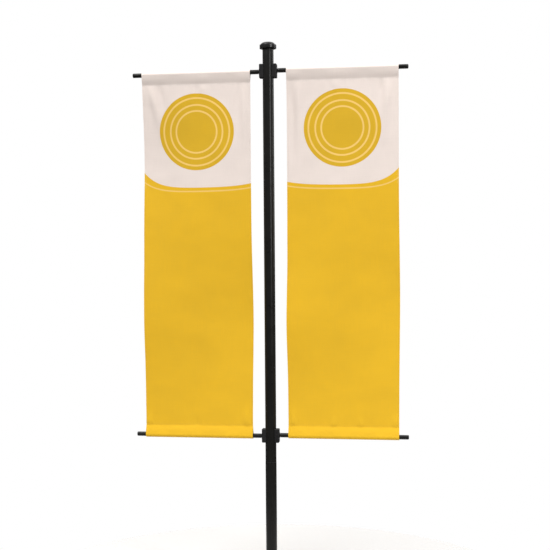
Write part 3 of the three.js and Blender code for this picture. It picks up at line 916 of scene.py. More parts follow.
@dataclass
class Mast:
    """The two poles, the joint between them and its screws."""

    wall: float = 3 * MM
    ring_spacing: float = 45 * MM
    screw_angle: float = 35.0
    screw_from_end: float = 50 * MM
    screw_hole: float = 4.4 * MM
    spigot_wall: float = 4 * MM
    spigot_chamfer: float = 1.5 * MM

    def _pole(self, node: str, bore: float, screws_at: float, body: str, finish: Material) -> None:
        """A pole's tube, with rings close enough to keep its shading true beside its screw holes.

        Args:
            node: The frame's node.
            bore: The bore's radius.
            screws_at: The height of its screws.
            body: The body that it rides.
            finish: Its finish.
        """
        low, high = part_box(node)
        radius = (high.x - low.x) / 2
        count = round((high.z - low.z) / self.ring_spacing)
        heights = [low.z + (high.z - low.z) * k / count for k in range(1, count)]
        near = [screws_at + k * 7 * MM for k in (-1, 1)]
        heights = sorted([z for z in heights if abs(z - screws_at) > 12 * MM] + near)
        profile = eased([(bore, low.z), (radius, low.z), (radius, high.z), (bore, high.z)], 0.7 * MM, True)
        outer = [i for i, p in enumerate(profile) if p[0] > radius - 1e-6]
        split = max(i for i in outer if profile[i][1] < (low.z + high.z) / 2) + 1
        profile = profile[:split] + [(radius, z) for z in heights] + profile[split:]
        pole = lathe(node + "_tube", profile, Matrix.Identity(4), True, 96)
        at = Vector((0, 0, screws_at))
        holes = [rod("hole", self.screw_hole, 0, 50 * MM, seat(at, self._outwards(sign)))
                 for sign in (-1, 1)]
        cut(pole, holes)
        finish_piece(pole, finish, Slot.COAT, body, node, angle=40)

    def _outwards(self, sign: int) -> Vector:
        """The direction that a joint screw faces, to either side of straight back."""
        turn = math.radians(self.screw_angle) * sign
        return Vector((math.sin(turn), math.cos(turn), 0))

    def build(self, finishes: Finishes) -> None:
        """Makes the poles, ring, spigot and screws.

        Args:
            finishes: The object's finishes.
        """
        bore = radius_of("upper_pole") - self.wall
        joint = middle("pole_joint_ring").z
        self._pole("upper_pole", bore, joint + self.screw_from_end, "mast", finishes.coat)
        self._pole("lower_pole", bore, joint - self.screw_from_end, "root", finishes.coat)
        low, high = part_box("pole_joint_ring")
        ring = eased([(bore, low.z), (high.x, low.z), (high.x, high.z), (bore, high.z)], 0.5 * MM, True)
        finish_piece(lathe("pole_joint_washer", ring, Matrix.Identity(4), True, 96),
                     finishes.nylon, Slot.PLASTIC, "joint_ring", "pole_joint_ring")
        low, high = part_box("pole_joint_spigot")
        inner, edge = high.x - self.spigot_wall, self.spigot_chamfer
        core = eased([(inner, low.z), (high.x - edge, low.z), (high.x, low.z + edge),
                      (high.x, high.z - edge), (high.x - edge, high.z), (inner, high.z)], 0.6 * MM, True)
        finish_piece(lathe("pole_joint_core", core, Matrix.Identity(4), True, 96),
                     finishes.steel, Slot.STEEL, "root", "pole_joint_spigot")
        screw = GrubScrew(8 * MM, 4 * MM, 3 * MM, 6 * MM)
        for number, sign in ((1, -1), (2, 1)):
            screw.make(f"spigot_screw_{number}", self._outwards(sign), finishes.steel, "root")
            screw.make(f"pole_lock_screw_{number}", self._outwards(sign), finishes.steel, "mast")


# ---------- cap


@dataclass
class Cap:
    """The cast cap, its finned plug and the screw between them."""

    lip_height: float = 20.5 * MM
    lip_width: float = 5.5 * MM
    groove: float = 1.8 * MM
    squareness: float = 2.5
    dome_steps: int = 28
    boss: float = 11 * MM
    hollow: float = 25.75 * MM
    bore: float = 4.4 * MM
    fin: float = 3 * MM
    fins: int = 3
    plug_core: float = 13.4 * MM
    screw: float = 4 * MM
    screw_head: float = 5 * MM
    screw_socket: float = 4.8 * MM

    def _dome(self, foot_radius: float, foot: float, crown: float) -> list[Point]:
        """A squarish dome's outline from its foot to its crown.

        Args:
            foot_radius: The radius at the foot.
            foot: The foot's height.
            crown: The crown's height.

        Returns:
            The outline, ending on the axis.
        """
        share = 2 / self.squareness
        made = []
        for i in range(self.dome_steps + 1):
            turn = i / self.dome_steps * math.pi / 2
            radius = foot_radius * math.cos(turn) ** share if i < self.dome_steps else 0.0
            made.append((radius, foot + (crown - foot) * math.sin(turn) ** share))
        return made

    def build(self, finishes: Finishes) -> None:
        """Makes the cap, the plug and the screw.

        Args:
            finishes: The object's finishes.
        """
        low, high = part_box("cap_dome")
        height, lip = high.z - low.z, (high.x - low.x) / 2
        foot = lip - self.lip_width
        dip = self.lip_height - self.groove
        rim = eased([(self.boss, 0), (self.boss, height / 2), (self.hollow - 2 * MM, height / 2),
                     (self.hollow, height / 2 - 4 * MM), (self.hollow, 0), (lip, 0),
                     (lip, self.lip_height), (lip - self.lip_width * 0.55, self.lip_height),
                     (foot, dip)], 1.8 * MM, steps=4)
        dome = self._dome(foot - 0.3 * MM, dip + 0.2 * MM, height)
        profile = [(0, 0)] + rim + dome
        cap = lathe("cap_casting", profile, Matrix.Translation((0, 0, low.z)), facets=112)
        hole = rod("hole", self.bore, -MM, height * 0.6, Matrix.Translation((0, 0, low.z)))
        cut(cap, [hole])
        finish_piece(cap, finishes.cap, Slot.CAST, "cap", "cap_dome", angle=50)
        self._plug(finishes)
        self._screw(finishes)

    def _plug(self, finishes: Finishes) -> None:
        """The plug, whose fins grip inside the pole.

        Args:
            finishes: The object's finishes.
        """
        low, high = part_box("cap_insert")
        outer, core, bore = (high.x - low.x) / 2, self.plug_core, self.bore
        pitch = (high.z - low.z - self.fin) / (self.fins - 1)
        profile = [(bore, high.z)]
        for i in range(self.fins):
            top = high.z - i * pitch
            profile += [(outer - 1.2 * MM, top), (outer, top - self.fin)]
            if i < self.fins - 1:
                profile += [(core, top - self.fin - 0.4 * MM), (core, top - pitch)]
        profile.append((bore, low.z))
        plug = lathe("cap_plug", eased(profile, 0.5 * MM, True), Matrix.Identity(4), True, 72)
        finish_piece(plug, finishes.nylon, Slot.PLASTIC, "cap", "cap_insert")

    def _screw(self, finishes: Finishes) -> None:
        """The screw, put in from below.

        Args:
            finishes: The object's finishes.
        """
        low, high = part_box("cap_screw")
        head, neck, shank = (high.x - low.x) / 2, low.z + self.screw_head, self.screw
        profile = eased([(0, low.z), (head, low.z), (head, neck), (shank, neck),
                         (shank, high.z - 0.6 * MM), (shank - 0.6 * MM, high.z), (0, high.z)], 0.5 * MM)
        screw = lathe("cap_fixing_screw", profile, Matrix.Identity(4), facets=40)
        socket = prism("socket", hexagon(self.screw_socket), 3 * MM, Matrix.Translation((0, 0, low.z - MM)))
        cut(screw, [socket])
        finish_piece(screw, finishes.steel, Slot.STEEL, "cap", "cap_screw")


# ---------- hubs and arms


@dataclass
class Hub:
    """A pair of cast saddles at one height, with their spigots and clamping bolts."""

    level: Level
    depth: float = 40 * MM
    height: float = 76 * MM
    corner: float = 5 * MM
    wall: float = 17.75 * MM
    pad_radius: float = 17 * MM
    pad_height: float = 2.5 * MM
    pad_root: float = 5 * MM
    spigot_radius: float = 9.7 * MM
    bolt_rise: float = 27.5 * MM
    sink_radius: float = 7 * MM
    sink_depth: float = 10 * MM
    clearance: float = 0.3 * MM
    stagger: float = 2.5 * MM
    grain: float = 0.9 * MM
    roughness: float = 0.22 * MM
    key: float = 3.5 * MM
    bolt: float = 4 * MM
    bolt_hole: float = 4.4 * MM
    head: float = 6.5 * MM
    head_height: float = 8 * MM

    def build(self, finishes: Finishes) -> None:
        """Makes both saddles and the two bolts with their nuts.

        Args:
            finishes: The object's finishes.
        """
        low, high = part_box(f"saddle_{self.level.value}_right")
        self.centre = Vector((0, 0, (low.z + high.z) / 2))
        self.pole = radius_of("upper_pole")
        self.face = self.pole + self.wall
        for side in Side:
            self._saddle(side, finishes)
        for place, sign in (("upper", 1), ("lower", -1)):
            self._bolt(place, sign, finishes)

    def _place(self, side: Side) -> Matrix:
        """The left-hand saddle is the right-hand one turned half round."""
        turn = Matrix.Rotation(math.pi if side is Side.LEFT else 0.0, 4, "Y")
        return Matrix.Translation(self.centre) @ turn

    def _saddle(self, side: Side, finishes: Finishes) -> None:
        """The casting, with softened edges and a sand-cast skin, and the spigot pressed into it.

        Args:
            side: The side that it is on.
            finishes: The object's finishes.
        """
        place = self._place(side)
        half = self.height / 2
        plan = [(self.pole / 2, -self.depth / 2), (self.face, -self.depth / 2),
                (self.face, self.depth / 2), (self.pole / 2, self.depth / 2)]
        lift = Matrix.Translation((0, 0, -half))
        name = f"saddle_casting_{self.level.value}_{side.word}"
        block = prism(name, plan, self.height, place @ lift)
        bevel(block, self.corner, 5)
        pad_end = self.pad_root + self.pad_height
        pad = lathe("pad", eased([(0, 0), (self.pad_radius, 0), (self.pad_radius, pad_end), (0, pad_end)],
                                 1.2 * MM),
                    place @ seat(Vector((self.face - self.pad_root, 0, self.stagger)), RIGHT), facets=64)
        combine(block, [pad], "UNION")
        tools = [rod("bore", self.pole + self.clearance, -half * 1.5, half * 1.5, place, 96)]
        start = self.face - self.sink_depth
        for sign in (-1, 1):
            z = sign * self.bolt_rise
            sink_place = place @ seat(Vector((start, 0, z)), RIGHT)
            tools.append(rod("sink", self.sink_radius, 0, 14 * MM, sink_place, 48))
            tools.append(rod("hole", self.bolt_hole, 0, 60 * MM, place @ seat(Vector((0, 0, z)), RIGHT)))
        cut(block, tools)
        self._cast_skin(block)
        finish_piece(block, finishes.cast, Slot.CAST, "mast",
                     f"saddle_{self.level.value}_{side.word}", angle=60)
        self._spigot(side, place, finishes)

    def _cast_skin(self, block: Piece) -> None:
        """Rounds every edge a little and gives the faces the unevenness of a sand casting.

        Args:
            block: The casting.
        """
        remesh = block.modifiers.new("remesh", "REMESH")
        remesh.mode, remesh.voxel_size = "VOXEL", self.grain
        ease = block.modifiers.new("ease", "SMOOTH")
        ease.factor, ease.iterations = 0.5, 3
        apply_modifiers(block)
        texture = bpy.data.textures.new("sand", "CLOUDS")
        texture.noise_scale, texture.noise_depth = 3.2 * MM, 2
        skin = block.modifiers.new("skin", "DISPLACE")
        skin.texture, skin.strength, skin.mid_level = texture, self.roughness, 0.5
        skin.texture_coords = "LOCAL"
        apply_modifiers(block)

    def _spigot(self, side: Side, place: Matrix, finishes: Finishes) -> None:
        """The turned peg that the arm slides over, with the keyway for its lock screw.

        Args:
            side: The side that it is on.
            place: Where its saddle stands.
            finishes: The object's finishes.
        """
        low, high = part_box(f"saddle_{self.level.value}_{side.word}")
        end = max(abs(low.x), abs(high.x))
        start = self.face - 1.5 * MM
        length = end - start
        radius = self.spigot_radius
        profile = [(0, 0), (radius, 0), (radius, length - 1.9 * MM), (radius - 1.9 * MM, length), (0, length)]
        rings = [(radius, length * k / 6) for k in range(1, 6)]
        profile = eased(profile[:2] + rings + profile[2:], 0.4 * MM)
        name = f"saddle_spigot_{self.level.value}_{side.word}"
        peg = lathe(name, profile, place @ seat(Vector((start, 0, self.stagger)), RIGHT), facets=64)
        screw_x = abs(middle(f"arm_lock_screw_{self.level.value}_{side.word}").x)
        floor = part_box(f"arm_lock_screw_{self.level.value}_{side.word}")[0].y - self.clearance
        key = self.key
        outline = [(screw_x + key * math.cos(a), key * math.sin(a))
                   for a in np.linspace(math.pi / 2, 1.5 * math.pi, 13)]
        outline += [(end + MM, -key), (end + MM, key)]
        turn = Matrix(((1, 0, 0, 0), (0, 0, 1, floor), (0, 1, 0, self.stagger), (0, 0, 0, 1)))
        cut(peg, [prism("keyway", outline, 8 * MM, place @ turn)])
        finish_piece(peg, finishes.coat, Slot.CAST, "mast")

    def _bolt(self, place: str, sign: int, finishes: Finishes) -> None:
        """A socket-headed bolt from the right and the round slotted nut on its left-hand end.

        Args:
            place: Its name in the frame's nodes.
            sign: 1 above the hub's middle, -1 below.
            finishes: The object's finishes.
        """
        height = self.centre.z + sign * self.bolt_rise
        node = f"hub_bolt_{self.level.value}_{place}"
        low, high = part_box(node)
        tall, wide, shank, edge = self.head_height, self.head, self.bolt, 0.6 * MM
        length = high.x - low.x
        profile = [(0, 0), (shank - edge, 0), (shank, edge), (shank, length - tall), (wide, length - tall),
                   (wide, length - 0.9 * MM), (wide - 0.9 * MM, length), (0, length)]
        bolt = lathe(f"{node}_socket_head", eased(profile, 0.25 * MM),
                     seat(Vector((low.x, 0, height)), RIGHT), facets=56)
        socket = prism("socket", hexagon(6 * MM), 6 * MM, seat(Vector((high.x - 4 * MM, 0, height)), RIGHT))
        cut(bolt, [socket])
        finish_piece(bolt, finishes.steel, Slot.STEEL, "mast", node)
        node = f"hub_nut_{self.level.value}_{place}"
        low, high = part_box(node)
        ring = eased([(self.bolt_hole, 0), (wide, 0), (wide, tall - 0.8 * MM), (wide - 0.7 * MM, tall),
                      (self.bolt_hole, tall)], 0.25 * MM, True)
        nut = lathe(f"{node}_slotted", ring, seat(Vector((high.x, 0, height)), -RIGHT), True, 56)
        slot = prism("slot", [(-8 * MM, -MM), (8 * MM, -MM), (8 * MM, MM), (-8 * MM, MM)], 4 * MM,
                     seat(Vector((low.x + 2 * MM, 0, height)), -RIGHT))
        cut(nut, [slot])
        finish_piece(nut, finishes.steel, Slot.STEEL, "mast", node)


@dataclass
class Arm:
    """A side arm: its tube, the domed plug in its outer end and its lock screw."""

    level: Level
    side: Side
    wall: float = 2 * MM
    ring_spacing: float = 45 * MM
    plug_stem: float = 20 * MM
    screw_hole: float = 3.4 * MM

    def build(self, finishes: Finishes) -> None:
        """Makes the three pieces.

        Args:
            finishes: The object's finishes.
        """
        where = f"{self.level.value}_{self.side.word}"
        body = f"{where}_arm"
        out = RIGHT * self.side.value
        low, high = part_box(f"arm_{where}")
        axis = middle(f"arm_{where}").z
        radius = (high.z - low.z) / 2
        start, end = sorted((abs(low.x), abs(high.x)))
        place = seat(Vector((start * self.side.value, 0, axis)), out)
        length = end - start
        screw_at = abs(middle(f"arm_lock_screw_{where}").x) - start
        count = round(length / self.ring_spacing)
        along = [length * k / count for k in range(1, count) if abs(length * k / count - screw_at) > 9 * MM]
        along = sorted(along + [screw_at - 6 * MM, screw_at + 6 * MM])
        bore = radius - self.wall
        profile = eased([(bore, 0), (radius, 0), (radius, length), (bore, length)], 0.6 * MM, True)
        split = max(i for i, p in enumerate(profile) if p[0] > radius - 1e-6 and p[1] < length / 2) + 1
        profile = profile[:split] + [(radius, z) for z in along] + profile[split:]
        tube = lathe(f"arm_tube_{where}", profile, place, True, 72)
        hole = rod("hole", self.screw_hole, 0, 20 * MM,
                   seat(Vector(((start + screw_at) * self.side.value, 0, axis)), BACK))
        cut(tube, [hole])
        finish_piece(tube, finishes.coat, Slot.COAT, body, f"arm_{where}", angle=40)
        self._plug(where, body, out, axis, radius, finishes)
        GrubScrew(6 * MM, 3 * MM).make(f"arm_lock_screw_{where}", BACK, finishes.steel, body)

    def _plug(self, where: str, body: str, out: Vector, axis: float, radius: float,
              finishes: Finishes) -> None:
        """The nylon plug: a ribbed stem in the tube and a rounded head past it.

        Args:
            where: The arm's level and side, as the nodes spell them.
            body: The body that it rides.
            out: The arm's direction.
            axis: The arm's height.
            radius: The tube's outer radius.
            finishes: The object's finishes.
        """
        low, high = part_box(f"arm_end_cap_{where}")
        tip, inner = sorted((abs(low.x), abs(high.x)), reverse=True)
        head = tip - inner - self.plug_stem
        stem = radius - self.wall - 0.3 * MM
        profile = [(0, 0), (stem - MM, 0), (stem, MM)]
        for k in range(3):
            z = (4 + 5 * k) * MM
            profile += [(stem, z), (stem - 0.8 * MM, z + 0.4 * MM), (stem - 0.8 * MM, z + 2 * MM),
                        (stem, z + 2.4 * MM)]
        profile += [(stem, self.plug_stem), (radius - 0.3 * MM, self.plug_stem)]
        for k in range(1, 13):
            turn = k / 13 * math.pi / 2
            profile.append((radius * math.cos(turn) ** 0.55, self.plug_stem + head * math.sin(turn) ** 0.85))
        profile.append((0, self.plug_stem + head))
        place = seat(Vector((inner * self.side.value, 0, axis)), out)
        plug = lathe(f"arm_end_plug_{where}", profile, place, facets=56)
        finish_piece(plug, finishes.nylon, Slot.PLASTIC, body, f"arm_end_cap_{where}", angle=45)


# ---------- foot


@dataclass
class WeldBead:
    """A rippled bead of weld laid along a line in the corner of two pieces."""

    radius: float = 3.2 * MM
    pitch: float = 3.6 * MM
    ripple: float = 0.12
    sides: int = 10

    def make(self, name: str, points: list[Vector], closed: bool, finish: Material) -> Piece:
        """Sweeps the bead along evenly resampled points.

        Args:
            name: The piece's name.
            points: The line's corners.
            closed: Whether it is a loop.
            finish: Its finish.

        Returns:
            The bead, riding the root body.
        """
        route = [Vector(p) for p in points] + ([Vector(points[0])] if closed else [])
        lengths = np.cumsum([0.0] + [(b - a).length for a, b in zip(route, route[1:])])
        count = max(8, round(lengths[-1] / (self.pitch / 5)))
        where = np.linspace(0, lengths[-1], count + 1)
        line = np.stack([np.interp(where, lengths, [p[k] for p in route]) for k in range(3)], 1)
        if closed:
            line = line[:-1]
        verts, faces = [], []
        total = len(line)
        for i in range(total):
            ahead = line[(i + 1) % total] if closed else line[min(i + 1, total - 1)]
            behind = line[i - 1] if closed else line[max(i - 1, 0)]
            along = Vector(ahead - behind).normalized()
            across = along.orthogonal().normalized() if abs(along.z) > 0.9 else along.cross(UP).normalized()
            up = across.cross(along).normalized()
            wave = 1 + self.ripple * math.sin(2 * math.pi * where[i] / self.pitch)
            ends = 1.0 if closed else min(1.0, (min(i, total - 1 - i) + 0.6) / 5)
            size = self.radius * wave * math.sqrt(ends)
            for k in range(self.sides):
                turn = 2 * math.pi * k / self.sides
                verts.append(Vector(line[i]) + across * size * math.cos(turn) + up * size * math.sin(turn))
        for i in range(total if closed else total - 1):
            for k in range(self.sides):
                a, b = i * self.sides, (i + 1) % total * self.sides
                n = (k + 1) % self.sides
                faces.append([a + k, a + n, b + n, b + k])
        if not closed:
            end = range((total - 1) * self.sides, total * self.sides)
            faces += [list(range(self.sides))[::-1], list(end)]
        bead = new_object(name, verts, faces)
        face_outwards(bead)
        return finish_piece(bead, finish, Slot.COAT, "root", angle=70)


@dataclass
class Foot:
    """The base plate, the sleeve with its bosses, the gussets, their welds and the clamp bolts."""

    corner: float = 30 * MM
    hole: float = 9 * MM
    hole_at: float = 160 * MM
    sleeve_wall: float = 4.5 * MM
    boss_radius: float = 10 * MM
    boss_height: float = 8 * MM
    gusset_thickness: float = 6 * MM
    clearance: float = 0.3 * MM
    bolt: float = 5 * MM
    bolt_hole: float = 5.4 * MM
    bolt_shows: float = 5 * MM
    head: float = 6.4 * MM
    across: float = 17 * MM

    def build(self, finishes: Finishes) -> None:
        """Makes the foot.

        Args:
            finishes: The object's finishes.
        """
        self.plate_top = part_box("base_plate")[1].z
        self.sleeve = self._sleeve_radius()
        self._plate(finishes)
        self._sleeve(finishes)
        self._gussets(finishes)
        self._bolts(finishes)

    def _sleeve_radius(self) -> float:
        """The sleeve's outer radius, which the gussets stand just clear of."""
        corners = [corner for number in (1, 2, 3, 4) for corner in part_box(f"base_gusset_{number}")]
        return min(abs(v) for c in corners for v in (c.x, c.y) if abs(v) > 10 * MM) - self.clearance

    def _plate(self, finishes: Finishes) -> None:
        """The plate, with rounded corners, four anchor holes and broken edges.

        Args:
            finishes: The object's finishes.
        """
        low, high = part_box("base_plate")
        half = high.x
        inner = half - self.corner
        outline = []
        for i, (x, y) in enumerate(((1, 1), (-1, 1), (-1, -1), (1, -1))):
            for k in range(13):
                turn = (i + k / 12) * math.pi / 2
                outline.append((x * inner + self.corner * math.cos(turn),
                                y * inner + self.corner * math.sin(turn)))
        plate = prism("base_plate_steel", outline, high.z - low.z, Matrix.Translation((0, 0, low.z)))
        holes = [rod("hole", self.hole, 0, 40 * MM,
                     Matrix.Translation((x * self.hole_at, y * self.hole_at, -10 * MM)), 48)
                 for x in (-1, 1) for y in (-1, 1)]
        cut(plate, holes)
        bevel(plate, 1.1 * MM, 3, 40)
        finish_piece(plate, finishes.coat, Slot.COAT, "root", "base_plate", angle=40)

    def _sleeve(self, finishes: Finishes) -> None:
        """The sleeve and the bosses that its clamp bolts screw through.

        Args:
            finishes: The object's finishes.
        """
        low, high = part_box("base_sleeve")
        outer = self.sleeve
        inner = outer - self.sleeve_wall
        profile = eased([(inner, low.z), (outer, low.z), (outer, high.z), (inner, high.z)], 1.2 * MM, True)
        sleeve = lathe("base_sleeve_tube", profile, Matrix.Identity(4), True, 96)
        bosses, holes, welds = [], [], []
        for number in (1, 2, 3, 4):
            axis = middle(f"base_clamp_bolt_{number}")
            out = Vector((axis.x, axis.y, 0)).normalized()
            place = seat(Vector((0, 0, axis.z)), out)
            top = outer + self.boss_height
            boss = [(0, inner + MM), (self.boss_radius, inner + MM), (self.boss_radius, top), (0, top)]
            bosses.append(lathe("boss", eased(boss, 0.9 * MM), place, facets=56))
            holes.append(rod("hole", self.bolt_hole, inner - 3 * MM, top + MM, place, 40))
            loop = []
            for k in range(40):
                turn = 2 * math.pi * k / 40
                x, y = self.boss_radius * math.cos(turn), self.boss_radius * math.sin(turn)
                deep = math.sqrt(max(outer ** 2 - (x if abs(place.col[0].z) < 0.5 else y) ** 2, 0))
                loop.append(place @ Vector((x, y, deep)))
            welds.append(loop)
        combine(sleeve, bosses, "UNION")
        cut(sleeve, holes)
        finish_piece(sleeve, finishes.coat, Slot.COAT, "root", "base_sleeve", angle=40)
        bead = WeldBead(2.0 * MM)
        for number, loop in enumerate(welds, 1):
            bead.make(f"boss_weld_{number}", loop, True, finishes.coat)

    def _gussets(self, finishes: Finishes) -> None:
        """The four ribs, with beads along their feet and backs and round the sleeve between them.

        Args:
            finishes: The object's finishes.
        """
        bead = WeldBead()
        for number in (1, 2, 3, 4):
            low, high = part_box(f"base_gusset_{number}")
            centre = (low + high) / 2
            out = Vector((centre.x, centre.y, 0)).normalized()
            reach = max(abs(low.dot(out)), abs(high.dot(out)))
            start = min(abs(low.dot(out)), abs(high.dot(out)))
            length, height = reach - start, high.z - low.z
            outline = [(10 * MM, 0), (length, 0), (length, 12 * MM), (12 * MM, height), (0, height),
                       (0, 10 * MM)]
            across = out.cross(UP)
            place = Matrix((
                (out.x, 0, across.x, out.x * start - across.x * self.gusset_thickness / 2),
                (out.y, 0, across.y, out.y * start - across.y * self.gusset_thickness / 2),
                (0, 1, 0, low.z), (0, 0, 0, 1)))
            rib = prism(f"base_gusset_rib_{number}", outline, self.gusset_thickness, place)
            bevel(rib, 0.9 * MM, 3)
            finish_piece(rib, finishes.coat, Slot.COAT, "root", f"base_gusset_{number}", angle=40)
            for label, sign in (("a", -1), ("b", 1)):
                offset = across * sign * (self.gusset_thickness / 2 + 0.8 * MM)
                foot = [out * (start + d) + offset + UP * (self.plate_top + 0.8 * MM)
                        for d in (14 * MM, length - 3 * MM)]
                back = [out * (start - 0.2 * MM) + offset + UP * (self.plate_top + z)
                        for z in (14 * MM, height - 3 * MM)]
                bead.make(f"gusset_foot_weld_{number}{label}", foot, False, finishes.coat)
                bead.make(f"gusset_back_weld_{number}{label}", back, False, finishes.coat)
        ring = [Vector(((self.sleeve + 0.6 * MM) * math.cos(2 * math.pi * k / 72),
                        (self.sleeve + 0.6 * MM) * math.sin(2 * math.pi * k / 72),
                        self.plate_top + 1.2 * MM)) for k in range(72)]
        bead.make("sleeve_foot_weld", ring, True, finishes.coat)

    def _bolts(self, finishes: Finishes) -> None:
        """The hexagon-headed clamp bolts.

        Args:
            finishes: The object's finishes.
        """
        head, flat, shank = self.head, self.across / 2, self.bolt
        corner = self.across / math.sqrt(3)
        start = radius_of("lower_pole") + self.clearance
        length = self.sleeve + self.boss_height + self.bolt_shows - start
        for number in (1, 2, 3, 4):
            node = f"base_clamp_bolt_{number}"
            axis = middle(node)
            out = Vector((axis.x, axis.y, 0)).normalized()
            place = seat(out * start + UP * axis.z, out)
            profile = [(0, 0), (shank - 0.8 * MM, 0), (shank, 0.9 * MM), (shank, length + MM),
                       (0, length + MM)]
            screw = lathe("shank", eased(profile, 0.2 * MM), place, facets=40)
            lift = Matrix.Translation((0, 0, length))
            hexed = prism("head", hexagon(self.across), head, place @ lift)
            profile = [(0, -MM), (flat * 0.96, -MM), (flat * 0.98, 0), (corner, 0.5 * MM),
                       (corner, head - 1.4 * MM), (flat * 0.93, head), (0, head)]
            cone = lathe("cone", profile, place @ lift, facets=64)
            combine(hexed, [cone], "INTERSECT")
            bolt = combine(screw, [hexed], "UNION")
            bolt.name = f"{node}_hex"
            finish_piece(bolt, finishes.steel, Slot.STEEL, "root", node)


# ---------- banners


@dataclass(frozen=True)
class Swell:
    """A broad soft bow of the hanging cloth; places are shares of its width and height.

    Depth moves the cloth back and drift moves it sideways in its own plane.
    """

    across: float
    down: float
    reach_across: float
    reach_down: float
    depth: float
    drift: float = 0.0


@dataclass(frozen=True)
class Crease:
    """A soft fold from one point of the panel to another, fading towards its end."""

    start: Point
    end: Point
    width: float
    depth: float


